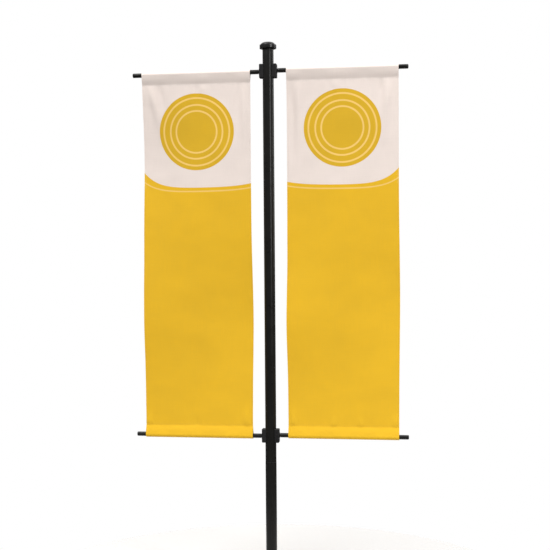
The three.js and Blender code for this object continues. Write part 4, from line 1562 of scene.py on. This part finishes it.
@dataclass
class Banner:
    """A cloth banner between two arms, with a rod pocket, a turned hem and stitching at each end."""

    side: Side
    swells: tuple[Swell, ...] = ()
    creases: tuple[Crease, ...] = ()
    thickness: float = 0.5 * MM
    top_seam: float = 67 * MM
    bottom_seam: float = 68 * MM
    tail: float = 12 * MM
    loose: float = 3 * MM
    columns: int = 49
    rows: int = 150
    fine: int = 2
    side_hem: float = 11 * MM
    stitch: float = 3.4 * MM
    stitch_pitch: float = 5 * MM
    thread: float = 0.35 * MM
    hem_stitch: float = 8.5 * MM
    arm_gap: float = 0.65 * MM
    slack: float = 0.0003
    frames: int = 24
    most_settling: float = 4 * MM

    def build(self, finishes: Finishes) -> None:
        """Args:
            finishes: The object's finishes.
        """
        word = self.side.word
        low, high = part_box(f"banner_{word}")
        self.outer = high.x if self.side is Side.RIGHT else low.x
        self.inner = low.x if self.side is Side.RIGHT else high.x
        self.width = abs(self.outer - self.inner)
        self.top_axis = middle(f"arm_top_{word}").z
        self.bottom_axis = middle(f"arm_bottom_{word}").z
        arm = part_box(f"arm_top_{word}")
        self.wrap = (arm[1].z - arm[0].z) / 2 + self.arm_gap + self.thickness / 2
        top = self.top_axis + self.wrap
        bottom = self.bottom_axis - self.wrap - self.loose
        self.panel_top, self.panel_bottom = top - self.top_seam, bottom + self.bottom_seam

        panel = self._relax(self._creased(self._panel(), 0.4))
        panel = self._bowed(self._creased(self._finer(panel)))
        self.sheet_grid, self.down = self._with_pockets(panel, top)
        cloth = self._cloth_object(finishes)
        pieces = self._hems(finishes) + self._stitches(finishes)
        body = f"{word}_banner"
        for piece in [cloth, *pieces]:
            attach(piece, body)
            log.info("%s rides %s", piece.name, body)
        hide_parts(f"banner_{word}")

    def _panel(self) -> np.ndarray:
        """The panel between the seams before it settles, as rows of points from the outer edge.

        Returns:
            The panel's points, by row and column.
        """
        across = np.linspace(0, 1, self.columns)
        down = np.linspace(0, 1, self.rows)
        share, drop = np.meshgrid(across, down)
        x = self.outer + (self.inner - self.outer) * share
        z = self.panel_top + (self.panel_bottom - self.panel_top) * drop
        return np.stack([x, np.zeros_like(x), z], -1)

    def _bowed(self, grid: np.ndarray) -> np.ndarray:
        """Adds the broad bows that the wind leaves, which fade out at the seams.

        Args:
            grid: The panel's points, by row and column.

        Returns:
            The same points, moved.
        """
        share, drop = np.meshgrid(np.linspace(0, 1, grid.shape[1]), np.linspace(0, 1, grid.shape[0]))
        held = np.clip(np.minimum(drop, 1 - drop) / 0.07, 0, 1)
        held = held * held * (3 - 2 * held)
        for bow in self.swells:
            part = held * np.exp(-(((share - bow.across) / bow.reach_across) ** 2)
                                 - ((drop - bow.down) / bow.reach_down) ** 2)
            grid[..., 0] += bow.drift * part
            grid[..., 1] += bow.depth * part
        return grid

    def _relax(self, grid: np.ndarray) -> np.ndarray:
        """Lets the panel hang as cloth between its two seams, and returns its settled points.

        Args:
            grid: The panel's points, by row and column.
        """
        rows, columns = grid.shape[:2]
        cloth = new_object("settling", grid.reshape(-1, 3), quads(rows, columns))
        held = cloth.vertex_groups.new(name="held")
        ends = [*range(columns), *range((rows - 1) * columns, rows * columns)]
        held.add(ends, 1.0, "ADD")
        sim = cloth.modifiers.new("hang", "CLOTH")
        settings = sim.settings
        settings.quality = 6
        settings.mass = 0.003
        settings.tension_stiffness = settings.compression_stiffness = 25
        settings.shear_stiffness = 8
        settings.bending_stiffness = 5
        settings.air_damping = 3
        settings.vertex_group_mass = "held"
        settings.shrink_min = -self.slack
        settings.effector_weights.gravity = 0.05
        sim.collision_settings.use_collision = False
        scene = bpy.context.scene
        for number in range(1, self.frames + 1):
            scene.frame_set(number)
        graph = bpy.context.evaluated_depsgraph_get()
        settled = cloth.evaluated_get(graph).data
        points = np.zeros(len(settled.vertices) * 3)
        settled.vertices.foreach_get("co", points)
        scene.frame_set(1)
        bpy.data.objects.remove(cloth)
        moved = points.reshape(grid.shape) - grid
        log.info("the panel settled by up to %s mm", np.round(np.abs(moved).max((0, 1)) * 1000, 1))
        return grid + softened(np.clip(moved, -self.most_settling, self.most_settling), 4)

    def _finer(self, grid: np.ndarray) -> np.ndarray:
        """The same surface with more rows and columns, through smooth curves.

        Args:
            grid: The panel's points, by row and column.

        Returns:
            The finer points.
        """
        for axis in (0, 1):
            count = (grid.shape[axis] - 1) * self.fine + 1
            grid = curved(grid, count, axis)
        return grid

    def _creased(self, grid: np.ndarray, strength: float = 1.0) -> np.ndarray:
        """Adds the folds that the pull of the seams leaves, at a share of their full depth.

        Args:
            grid: The panel's points, by row and column.
            strength: The share.

        Returns:
            The same points, moved.
        """
        rows, columns = grid.shape[:2]
        across = np.linspace(0, self.width, columns)
        down = np.linspace(0, self.panel_top - self.panel_bottom, rows)
        x, z = np.meshgrid(across, down)
        for fold in self.creases:
            start, end = np.array(fold.start), np.array(fold.end)
            along = (end - start) / np.linalg.norm(end - start)
            dx, dz = x - start[0], z - start[1]
            t = (dx * along[0] + dz * along[1]) / np.linalg.norm(end - start)
            off = (dx * along[1] - dz * along[0]) / fold.width
            fade = np.clip(t / 0.3, 0, 1) * np.clip(1 - t, 0, 1) ** 1.2
            grid[..., 1] += strength * fold.depth * fade * (1 + 0.8 * off) * np.exp(-off * off)
        length = down[-1]
        near = np.exp(-z / 0.025) + np.exp(-(length - z) / 0.02)
        pulled = 0.45 * MM * np.sin(x * 2 * np.pi / 0.047 + 1.3 * np.sin(x * 21))
        pinned = np.clip(np.minimum(z, length - z) / 0.008, 0, 1)
        grid[..., 1] += strength * near * pulled * pinned
        return grid

    def _pocket(self, seam: float, wrap: float, wave: np.ndarray) -> tuple[np.ndarray, np.ndarray]:
        """A pocket's section from its tail round the rod to its front seam.

        Args:
            seam: The seam's distance from the end of the cloth.
            wrap: The radius at which the cloth goes round the rod.
            wave: A slack of the pocket's front for each column.

        Returns:
            (y, z) for each point and column, with the rod's axis at 0 and the pocket hanging below,
            and the length run so far at each point.
        """
        below = seam - wrap
        lean = math.acos(wrap / below)
        points: list[Point] = []
        gap = self.thickness * 1.15
        for z in np.linspace(-below - self.tail, -below, 4):
            points.append((gap, z))
        turns = np.linspace(-math.pi / 2 + lean, 1.5 * math.pi - lean, 27)
        first = (wrap * math.cos(turns[0]), wrap * math.sin(turns[0]))
        for t in np.linspace(0, 1, 8)[1:-1]:
            points.append((gap + (first[0] - gap) * t, -below + (first[1] + below) * t))
        points += [(wrap * math.cos(t), wrap * math.sin(t)) for t in turns]
        last = points[-1]
        front_from = len(points)
        for t in np.linspace(0, 1, 10)[1:-1]:
            points.append((last[0] * (1 - t), last[1] + (-below - last[1]) * t))
        section = np.array(points)
        run = np.concatenate([[0], np.cumsum(np.linalg.norm(np.diff(section, axis=0), axis=1))])
        ease = np.zeros(len(section))
        ease[front_from:] = np.sin(np.linspace(0, np.pi, len(section) - front_from + 2)[1:-1])
        made = np.repeat(section[:, None, :], len(wave), 1)
        made[..., 0] -= ease[:, None] * (1.6 * MM + wave[None, :])
        return made, run

    def _with_pockets(self, panel: np.ndarray, top: float) -> tuple[np.ndarray, np.ndarray]:
        """Adds both pockets to the panel.

        Args:
            panel: The panel's points.
            top: The height of the cloth's upper end.

        Returns:
            The whole sheet's points and each row's distance down from the cloth's upper end.
        """
        columns = panel.shape[1]
        x = panel[0, :, 0]
        u = np.linspace(0, 1, columns)
        waves = [0.7 * MM * np.sin(u * 2 * np.pi * k + p)
                 + 0.4 * MM * np.sin(u * 2 * np.pi * (k + 3.3) + 2 * p) for k, p in ((2.2, 0.4), (2.9, 2.1))]
        upper, upper_run = self._pocket(self.top_seam, self.wrap, waves[0])
        lower, lower_run = self._pocket(self.bottom_seam, self.wrap + self.loose, waves[1])
        head = np.zeros((*upper.shape[:2], 3))
        head[..., 0], head[..., 1], head[..., 2] = x, upper[..., 0], self.top_axis + upper[..., 1]
        foot = np.zeros((*lower.shape[:2], 3))
        foot[..., 0], foot[..., 1], foot[..., 2] = x, lower[..., 0], self.bottom_axis - lower[..., 1]
        foot = foot[::-1]
        self._lay_tail(head[:4], panel[:12])
        self._lay_tail(foot[-4:], panel[-12:])
        crown = int(np.argmax(upper[:, 0, 1]))
        head_down = upper_run - upper_run[crown]
        seam_down = head_down[-1] + np.linalg.norm(panel[0, 0] - head[-1, 0])
        fall = np.concatenate([[0], np.cumsum(np.linalg.norm(
            np.diff(panel[:, columns // 2], axis=0), axis=1))])
        panel_down = seam_down + fall
        foot_down = panel_down[-1] + np.linalg.norm(foot[0, 0] - panel[-1, 0]) + (
            lower_run[-1] - lower_run[::-1])
        self.cut_length = foot_down[-1] - head_down[0]
        self.seam_rows = (len(head), len(head) + len(panel) - 1)
        # the print is laid out on the finished height, so the head's depths are the hung ones
        hung = top - panel[:, columns // 2, 2]
        down = [head_down - (head_down[-1] - (top - head[-1, 0, 2])), hung,
                hung[-1] + (foot_down - panel_down[-1])]
        return np.concatenate([head, panel, foot]), np.concatenate(down)

    def _lay_tail(self, tail: np.ndarray, near: np.ndarray) -> None:
        """Moves a pocket's tail so that it lies on the back of the panel beside it.

        Args:
            tail: The tail's points.
            near: The panel's points beside it.
        """
        for column in range(tail.shape[1]):
            order = np.argsort(near[:, column, 2])
            tail[:, column, 1] += np.interp(
                tail[:, column, 2], near[order, column, 2], near[order, column, 1])

    def _cloth_object(self, finishes: Finishes) -> Piece:
        """The sheet as a thin closed mesh with its flat coordinates.

        Args:
            finishes: The object's finishes.

        Returns:
            The cloth.
        """
        rows, columns = self.sheet_grid.shape[:2]
        name = f"banner_cloth_{self.side.word}"
        cloth = new_object(name, self.sheet_grid.reshape(-1, 3), quads(rows, columns))
        lay_flat(cloth, np.linspace(0, self.width, columns), self.down)
        cloth.data.materials.append(finishes.cloth_face)
        cloth.data.materials.append(finishes.cloth_back)
        if self._faces_back(cloth):
            cloth.data.flip_normals()
        solid = cloth.modifiers.new("thickness", "SOLIDIFY")
        solid.thickness, solid.offset = self.thickness, 0.0
        solid.material_offset, solid.material_offset_rim = 1, 0
        apply_modifiers(cloth)
        smooth(cloth, 60)
        return cloth

    @staticmethod
    def _faces_back(cloth: Piece) -> bool:
        """Whether the panel's normals point to the back."""
        middle_face = cloth.data.polygons[len(cloth.data.polygons) // 2]
        return middle_face.normal.y > 0

    def _normals(self) -> np.ndarray:
        """The sheet's unit normals, pointing to the front on the panel.

        Returns:
            A normal for each point of the sheet.
        """
        down, across = np.gradient(self.sheet_grid, axis=0), np.gradient(self.sheet_grid, axis=1)
        normal = np.cross(across, down)
        normal /= np.linalg.norm(normal, axis=-1, keepdims=True)
        if normal[normal.shape[0] // 2, normal.shape[1] // 2, 1] > 0:
            normal = -normal
        return normal

    def _sample(self, row: np.ndarray, column: np.ndarray) -> tuple[np.ndarray, np.ndarray]:
        """Points and normals of the sheet at fractional rows and columns.

        Args:
            row: The rows.
            column: The columns.

        Returns:
            The points and their normals.
        """
        grid, normal = self.sheet_grid, self._normals()
        r, c = np.floor(row).astype(int), np.floor(column).astype(int)
        r, c = np.minimum(r, grid.shape[0] - 2), np.minimum(c, grid.shape[1] - 2)
        fr, fc = (row - r)[:, None], (column - c)[:, None]

        def blend(a: np.ndarray) -> np.ndarray:
            """Bilinear interpolation in one array."""
            return (a[r, c] * (1 - fr) * (1 - fc) + a[r + 1, c] * fr * (1 - fc)
                    + a[r, c + 1] * (1 - fr) * fc + a[r + 1, c + 1] * fr * fc)

        return blend(grid), blend(normal)

    def _hems(self, finishes: Finishes) -> list[Piece]:
        """The turned strips along the panel's sides, on its back.

        Args:
            finishes: The object's finishes.

        Returns:
            The two strips.
        """
        made = []
        first, last = self.seam_rows
        rows = np.arange(first + 3, last - 2)
        columns = self.sheet_grid.shape[1] - 1
        for label, near, far in (("outer", 0.0, self.side_hem / self.width),
                                 ("inner", 1.0, 1 - self.side_hem / self.width)):
            strips = []
            for share, off in ((near, 0.75), (near * 0.3 + far * 0.7, 0.95), (far, 0.8)):
                point, normal = self._sample(rows.astype(float), np.full(len(rows), share * columns))
                strips.append(point - normal * self.thickness * off * 1.15)
            grid = np.stack(strips, 1)
            name = f"banner_{self.side.word}_{label}_hem"
            strip = new_object(name, grid.reshape(-1, 3), quads(len(rows), 3))
            lay_flat(strip, np.array([near, near * 0.3 + far * 0.7, far]) * self.width, self.down[rows])
            strip.data.materials.append(finishes.cloth_back)
            solid = strip.modifiers.new("thickness", "SOLIDIFY")
            solid.thickness, solid.offset = self.thickness * 0.7, 0.0
            apply_modifiers(strip)
            face_outwards(strip)
            smooth(strip, 60)
            made.append(strip)
        return made

    def _stitches(self, finishes: Finishes) -> list[Piece]:
        """The seams' and hems' stitches, in two colours of thread.

        Args:
            finishes: The object's finishes.

        Returns:
            The thread of the top half and of the bottom one.
        """
        first, last = self.seam_rows
        columns = self.sheet_grid.shape[1] - 1
        rows_per_metre = (last - first) / (self.panel_top - self.panel_bottom)
        across = np.arange(4 * MM, self.width - 4 * MM, self.stitch_pitch) / self.width * columns
        step = self.stitch / 2 / self.width * columns
        seams = {"top": [], "bottom": []}
        for label, row, sign in (("top", first, 1), ("bottom", last, -1)):
            for offset in (1.5 * MM, self.hem_stitch):
                at = np.full(len(across), row + sign * offset * rows_per_metre)
                seams[label].append((at, across - step, at, across + step))
        switch = first + (HEAD_DEPTH - self.top_seam) * rows_per_metre
        along = np.arange(first + 12 * MM * rows_per_metre, last - 12 * MM * rows_per_metre,
                          self.stitch_pitch * rows_per_metre)
        reach = self.stitch / 2 * rows_per_metre
        for share in (self.hem_stitch / self.width, 1 - self.hem_stitch / self.width):
            for label, part in (("top", along[along < switch]), ("bottom", along[along >= switch])):
                at = np.full(len(part), share * columns)
                seams[label].append((part - reach, at, part + reach, at))
        made = []
        for label, finish in (("top", finishes.white_thread), ("bottom", finishes.yellow_thread)):
            starts, ends, lifts = [], [], []
            for r0, c0, r1, c1 in seams[label]:
                a, normal = self._sample(r0, c0)
                b, _ = self._sample(r1, c1)
                for face, lift in ((1, 0.62), (-1, 2.35)):
                    starts.append(a + normal * face * self.thickness * lift)
                    ends.append(b + normal * face * self.thickness * lift)
                    lifts.append(normal * face)
            stitch = thread_mesh(f"banner_{self.side.word}_stitches_{label}", np.concatenate(starts),
                                 np.concatenate(ends), np.concatenate(lifts), self.thread)
            stitch.data.materials.append(finish)
            stitch.data.shade_smooth()
            made.append(stitch)
        return made


def quads(rows: int, columns: int) -> list[list[int]]:
    """The faces of a grid of points, row by row."""
    corner = (np.arange(rows - 1)[:, None] * columns + np.arange(columns - 1)[None, :]).ravel()
    return np.stack([corner, corner + 1, corner + columns + 1, corner + columns], 1).tolist()


def lay_flat(piece: Piece, across: np.ndarray, down: np.ndarray) -> None:
    """Gives a piece made as a grid of points its flat coordinates, as a UV map in metres.

    Args:
        piece: The piece, with its points row by row.
        across: Each column's distance from the cloth's outer edge.
        down: Each row's distance from the banner's top.
    """
    layer = piece.data.uv_layers.new(name="flat")
    index = np.zeros(len(piece.data.loops), int)
    piece.data.loops.foreach_get("vertex_index", index)
    flat = np.stack([across[index % len(across)], down[index // len(across)]], -1)
    layer.data.foreach_set("uv", flat.ravel())


def softened(grid: np.ndarray, passes: int) -> np.ndarray:
    """Averages each point of a grid with its neighbours a number of times, apart from the rim.

    Args:
        grid: Values, by row and column.
        passes: How often it is done.

    Returns:
        The softer grid.
    """
    for _ in range(passes):
        for axis in (0, 1):
            view = np.moveaxis(grid, axis, 0)
            eased_view = view.copy()
            eased_view[1:-1] = (view[:-2] + 2 * view[1:-1] + view[2:]) / 4
            grid = np.moveaxis(eased_view, 0, axis)
    return grid


def curved(grid: np.ndarray, count: int, axis: int) -> np.ndarray:
    """Resamples a grid along an axis with a Catmull-Rom curve.

    Args:
        grid: Points, by row and column.
        count: Points wanted along the axis.
        axis: 0 for rows, 1 for columns.

    Returns:
        The resampled grid.
    """
    source = np.moveaxis(grid, axis, 0)
    size = len(source)
    where = np.linspace(0, size - 1, count)
    i = np.minimum(where.astype(int), size - 2)
    t = (where - i).reshape(-1, *([1] * (source.ndim - 1)))
    before, here = source[np.maximum(i - 1, 0)], source[i]
    ahead, after = source[i + 1], source[np.minimum(i + 2, size - 1)]
    made = 0.5 * (2 * here + (ahead - before) * t + (2 * before - 5 * here + 4 * ahead - after) * t ** 2
                  + (3 * here - before - 3 * ahead + after) * t ** 3)
    return np.moveaxis(made, 0, axis)


def thread_mesh(name: str, starts: np.ndarray, ends: np.ndarray, lifts: np.ndarray, radius: float) -> Piece:
    """A row of stitches as one mesh of short four-sided threads with pointed ends.

    Args:
        name: The piece's name.
        starts: Where each stitch goes in.
        ends: Where it comes out.
        lifts: The cloth's unit normal at each stitch.
        radius: The thread's radius.

    Returns:
        The mesh object.
    """
    along = ends - starts
    along /= np.linalg.norm(along, axis=1, keepdims=True)
    side = np.cross(along, lifts)
    side /= np.linalg.norm(side, axis=1, keepdims=True)
    span = ends - starts
    rings = []
    for share in (0.2, 0.8):
        centre = starts + span * share
        rings += [centre + side * radius, centre + lifts * radius * 0.7, centre - side * radius,
                  centre - lifts * radius * 0.7]
    points = np.stack([starts - lifts * radius * 0.5, *rings, ends - lifts * radius * 0.5], 1)
    local = [[0, 2, 1], [0, 3, 2], [0, 4, 3], [0, 1, 4], [9, 5, 6], [9, 6, 7], [9, 7, 8], [9, 8, 5]]
    local += [[1, 2, 6, 5], [2, 3, 7, 6], [3, 4, 8, 7], [4, 1, 5, 8]]
    faces = [[v + 10 * k for v in face] for k in range(len(points)) for face in local]
    made = new_object(name, points.reshape(-1, 3), faces)
    face_outwards(made)
    return made


# ---------- stage, light and view


@dataclass
class Studio:
    """The pale floor, the soft lights and the sky."""

    floor_radius: float = 1.5
    floor_tone: float = 0.635
    speckle_tone: float = 0.595
    zenith: float = 1.7
    horizon: float = 0.13
    ground: float = 0.05

    def build(self) -> None:
        """Makes the floor, the world and the lights."""
        self._floor()
        self._world()
        self._panel_light("key_light", (-2.8, -3.8, 7.2), (0, 0, 1.9), 2.8, 2.8, 203.0)
        self._panel_light("strip_light", (3.9, -3.4, 3.2), (0, 0, 2.2), 0.6, 3.0, 95.0)
        self._panel_light("rim_light", (4.4, 2.3, 3.2), (0, 0, 2.4), 0.5, 3.0, 44.0)
        self._panel_light("back_light", (2.5, 4.5, 5.4), (0, 0, 1.7), 2.2, 2.2, 55.0)
        bpy.context.scene.view_settings.view_transform = "Standard"

    def _floor(self) -> None:
        """A round pale floor with a fine speckle."""
        below = Matrix.Translation((0, 0, -0.2 * MM))
        floor = lathe("floor", [(0, 0), (self.floor_radius, 0)], below, facets=160)
        made, g, shader, place = start_material("pale_floor")
        speckle = g.noise(place.outputs["Object"], 60.0, 4.0, 0.6)
        tones = [(*[tone] * 3, 1) for tone in (self.floor_tone, self.speckle_tone)]
        g.feed(shader.inputs["Base Color"], g.mix(speckle, *tones))
        shader.inputs["Roughness"].default_value = 0.8
        shader.inputs["Specular IOR Level"].default_value = 0.1
        floor.data.materials.append(made)

    def _world(self) -> None:
        """A plain white backdrop, and a sky that is brightest overhead for everything that it lights."""
        world = bpy.data.worlds.new("soft_sky")
        bpy.context.scene.world = world
        world.use_nodes = True
        world.node_tree.nodes.clear()
        g = Graph(world.node_tree)
        place = g.add("ShaderNodeTexCoord")
        axes = g.add("ShaderNodeSeparateXYZ")
        g.feed(axes.inputs[0], place.outputs["Generated"])
        sky = g.remap(axes.outputs[2], 0.0, 0.85, self.horizon, self.zenith, soft=True)
        lower = g.remap(axes.outputs[2], -0.5, 0.0, self.ground, self.horizon, soft=True)
        above = g.math("GREATER_THAN", axes.outputs[2], 0.0)
        strength = g.math("ADD", g.math("MULTIPLY", sky, above),
                          g.math("MULTIPLY", lower, g.math("SUBTRACT", 1.0, above)))
        lit, seen = g.add("ShaderNodeBackground"), g.add("ShaderNodeBackground")
        g.feed(lit.inputs["Strength"], strength)
        lit.inputs["Color"].default_value = (1.0, 0.985, 0.97, 1)
        seen.inputs["Color"].default_value = (1, 1, 1, 1)
        seen.inputs["Strength"].default_value = 1.0
        path, pick = g.add("ShaderNodeLightPath"), g.add("ShaderNodeMixShader")
        g.feed(pick.inputs[0], path.outputs["Is Camera Ray"])
        g.feed(pick.inputs[1], lit.outputs[0])
        g.feed(pick.inputs[2], seen.outputs[0])
        g.feed(g.add("ShaderNodeOutputWorld").inputs["Surface"], pick.outputs[0])

    @staticmethod
    def _panel_light(
        name: str, at: tuple, towards: tuple, width: float, height: float, power: float
    ) -> None:
        """A soft rectangular light at a point, facing another.

        Args:
            name: Its name.
            at: Where it stands.
            towards: What it faces.
            width: Its width.
            height: Its height.
            power: Its power in watts.
        """
        data = bpy.data.lights.new(name, "AREA")
        data.shape, data.size, data.size_y, data.energy = "RECTANGLE", width, height, power
        lamp = bpy.data.objects.new(name, data)
        lamp.location = at
        lamp.rotation_euler = (Vector(towards) - Vector(at)).to_track_quat("-Z", "Y").to_euler()
        bpy.context.scene.collection.objects.link(lamp)


@dataclass
class Viewpoint:
    """The camera: its place round the banners' middle, its tilt, its roll and its framing."""

    azimuth: float = 8.407
    pitch: float = -2.759
    roll: float = -0.415
    distance: float = 5.970
    offset_right: float = 0.0292
    offset_up: float = 0.0148
    focal: float = 2.0  # over the sensor's width
    shift: float = 0.0545
    shift_side: float = -0.00045

    def build(self) -> None:
        """Makes the camera and sets it as the scene's."""
        turn, tilt, roll = (math.radians(a) for a in (self.azimuth, self.pitch, self.roll))
        target = UP * (middle("saddle_top_right").z + middle("saddle_bottom_right").z) / 2
        back = Vector((math.sin(turn), -math.cos(turn), 0))
        right = Vector((math.cos(turn), math.sin(turn), 0))
        place = target + back * self.distance + right * self.offset_right + UP * self.offset_up
        ahead = -back * math.cos(tilt) + UP * math.sin(tilt)
        top = UP * math.cos(tilt) + back * math.sin(tilt)
        x_axis = right * math.cos(roll) + top * math.sin(roll)
        y_axis = top * math.cos(roll) - right * math.sin(roll)
        data = bpy.data.cameras.new("camera")
        data.sensor_width = 36.0
        data.lens = 36.0 * self.focal
        data.shift_x, data.shift_y = self.shift_side, self.shift
        data.clip_end = 60.0
        camera = bpy.data.objects.new("camera", data)
        camera.matrix_world = Matrix((
            (x_axis.x, y_axis.x, -ahead.x, place.x), (x_axis.y, y_axis.y, -ahead.y, place.y),
            (x_axis.z, y_axis.z, -ahead.z, place.z), (0, 0, 0, 1)))
        bpy.context.scene.collection.objects.link(camera)
        bpy.context.scene.camera = camera


# ---------- the object

LEFT_SWELLS = (
    Swell(0.0, 0.22, 0.35, 0.15, 0.018, 0.0036),
    Swell(0.0, 0.68, 0.3, 0.13, -0.012, -0.0026),
    Swell(1.0, 0.68, 0.4, 0.17, 0.022, 0.0045),
    Swell(0.55, 0.45, 0.4, 0.3, -0.008),
)
LEFT_CREASES = (
    Crease((0.040, 0.003), (0.105, 0.34), 0.022, -0.008),
    Crease((0.085, 0.0), (0.125, 0.17), 0.018, 0.004),
    Crease((0.333, 0.0), (0.325, 0.10), 0.019, -0.0032),
    Crease((0.30, 0.0), (0.31, 0.14), 0.024, 0.002),
    Crease((0.556, 0.0), (0.562, 0.50), 0.020, -0.006),
    Crease((0.525, 0.0), (0.52, 0.30), 0.022, 0.0035),
    Crease((0.02, 1.872), (0.035, 1.78), 0.016, -0.005),
    Crease((0.30, 1.872), (0.29, 1.81), 0.02, 0.0025),
    Crease((0.572, 1.872), (0.56, 1.76), 0.016, -0.005),
)
RIGHT_SWELLS = (
    Swell(1.0, 0.2, 0.35, 0.2, 0.006, 0.0008),
    Swell(1.0, 0.7, 0.35, 0.12, -0.02, -0.0048),
    Swell(0.0, 0.62, 0.4, 0.2, 0.018, 0.0052),
    Swell(0.45, 0.4, 0.35, 0.3, -0.006),
)
RIGHT_CREASES = (
    Crease((0.045, 0.003), (0.075, 0.36), 0.022, -0.008),
    Crease((0.085, 0.0), (0.10, 0.20), 0.018, 0.0045),
    Crease((0.325, 0.0), (0.335, 0.11), 0.019, -0.0032),
    Crease((0.355, 0.0), (0.35, 0.14), 0.022, 0.002),
    Crease((0.565, 0.0), (0.56, 0.55), 0.019, 0.006),
    Crease((0.53, 0.0), (0.535, 0.42), 0.019, -0.005),
    Crease((0.583, 1.872), (0.572, 1.77), 0.015, -0.006),
    Crease((0.36, 1.872), (0.352, 1.80), 0.017, -0.004),
    Crease((0.212, 1.872), (0.222, 1.80), 0.017, -0.004),
    Crease((0.02, 1.872), (0.03, 1.79), 0.015, -0.004),
)


def main() -> None:
    """Builds the view, the stage and the object, piece by piece."""
    logging.basicConfig(level=logging.INFO, format="%(name)s: %(message)s")
    Viewpoint().build()
    Studio().build()
    finishes = Finishes()
    Foot().build(finishes)
    Mast().build(finishes)
    Cap().build(finishes)
    for level in Level:
        Hub(level).build(finishes)
        for side in Side:
            Arm(level, side).build(finishes)
    Banner(Side.LEFT, LEFT_SWELLS, LEFT_CREASES).build(finishes)
    Banner(Side.RIGHT, RIGHT_SWELLS, RIGHT_CREASES).build(finishes)


if __name__ == "__main__":
    main()
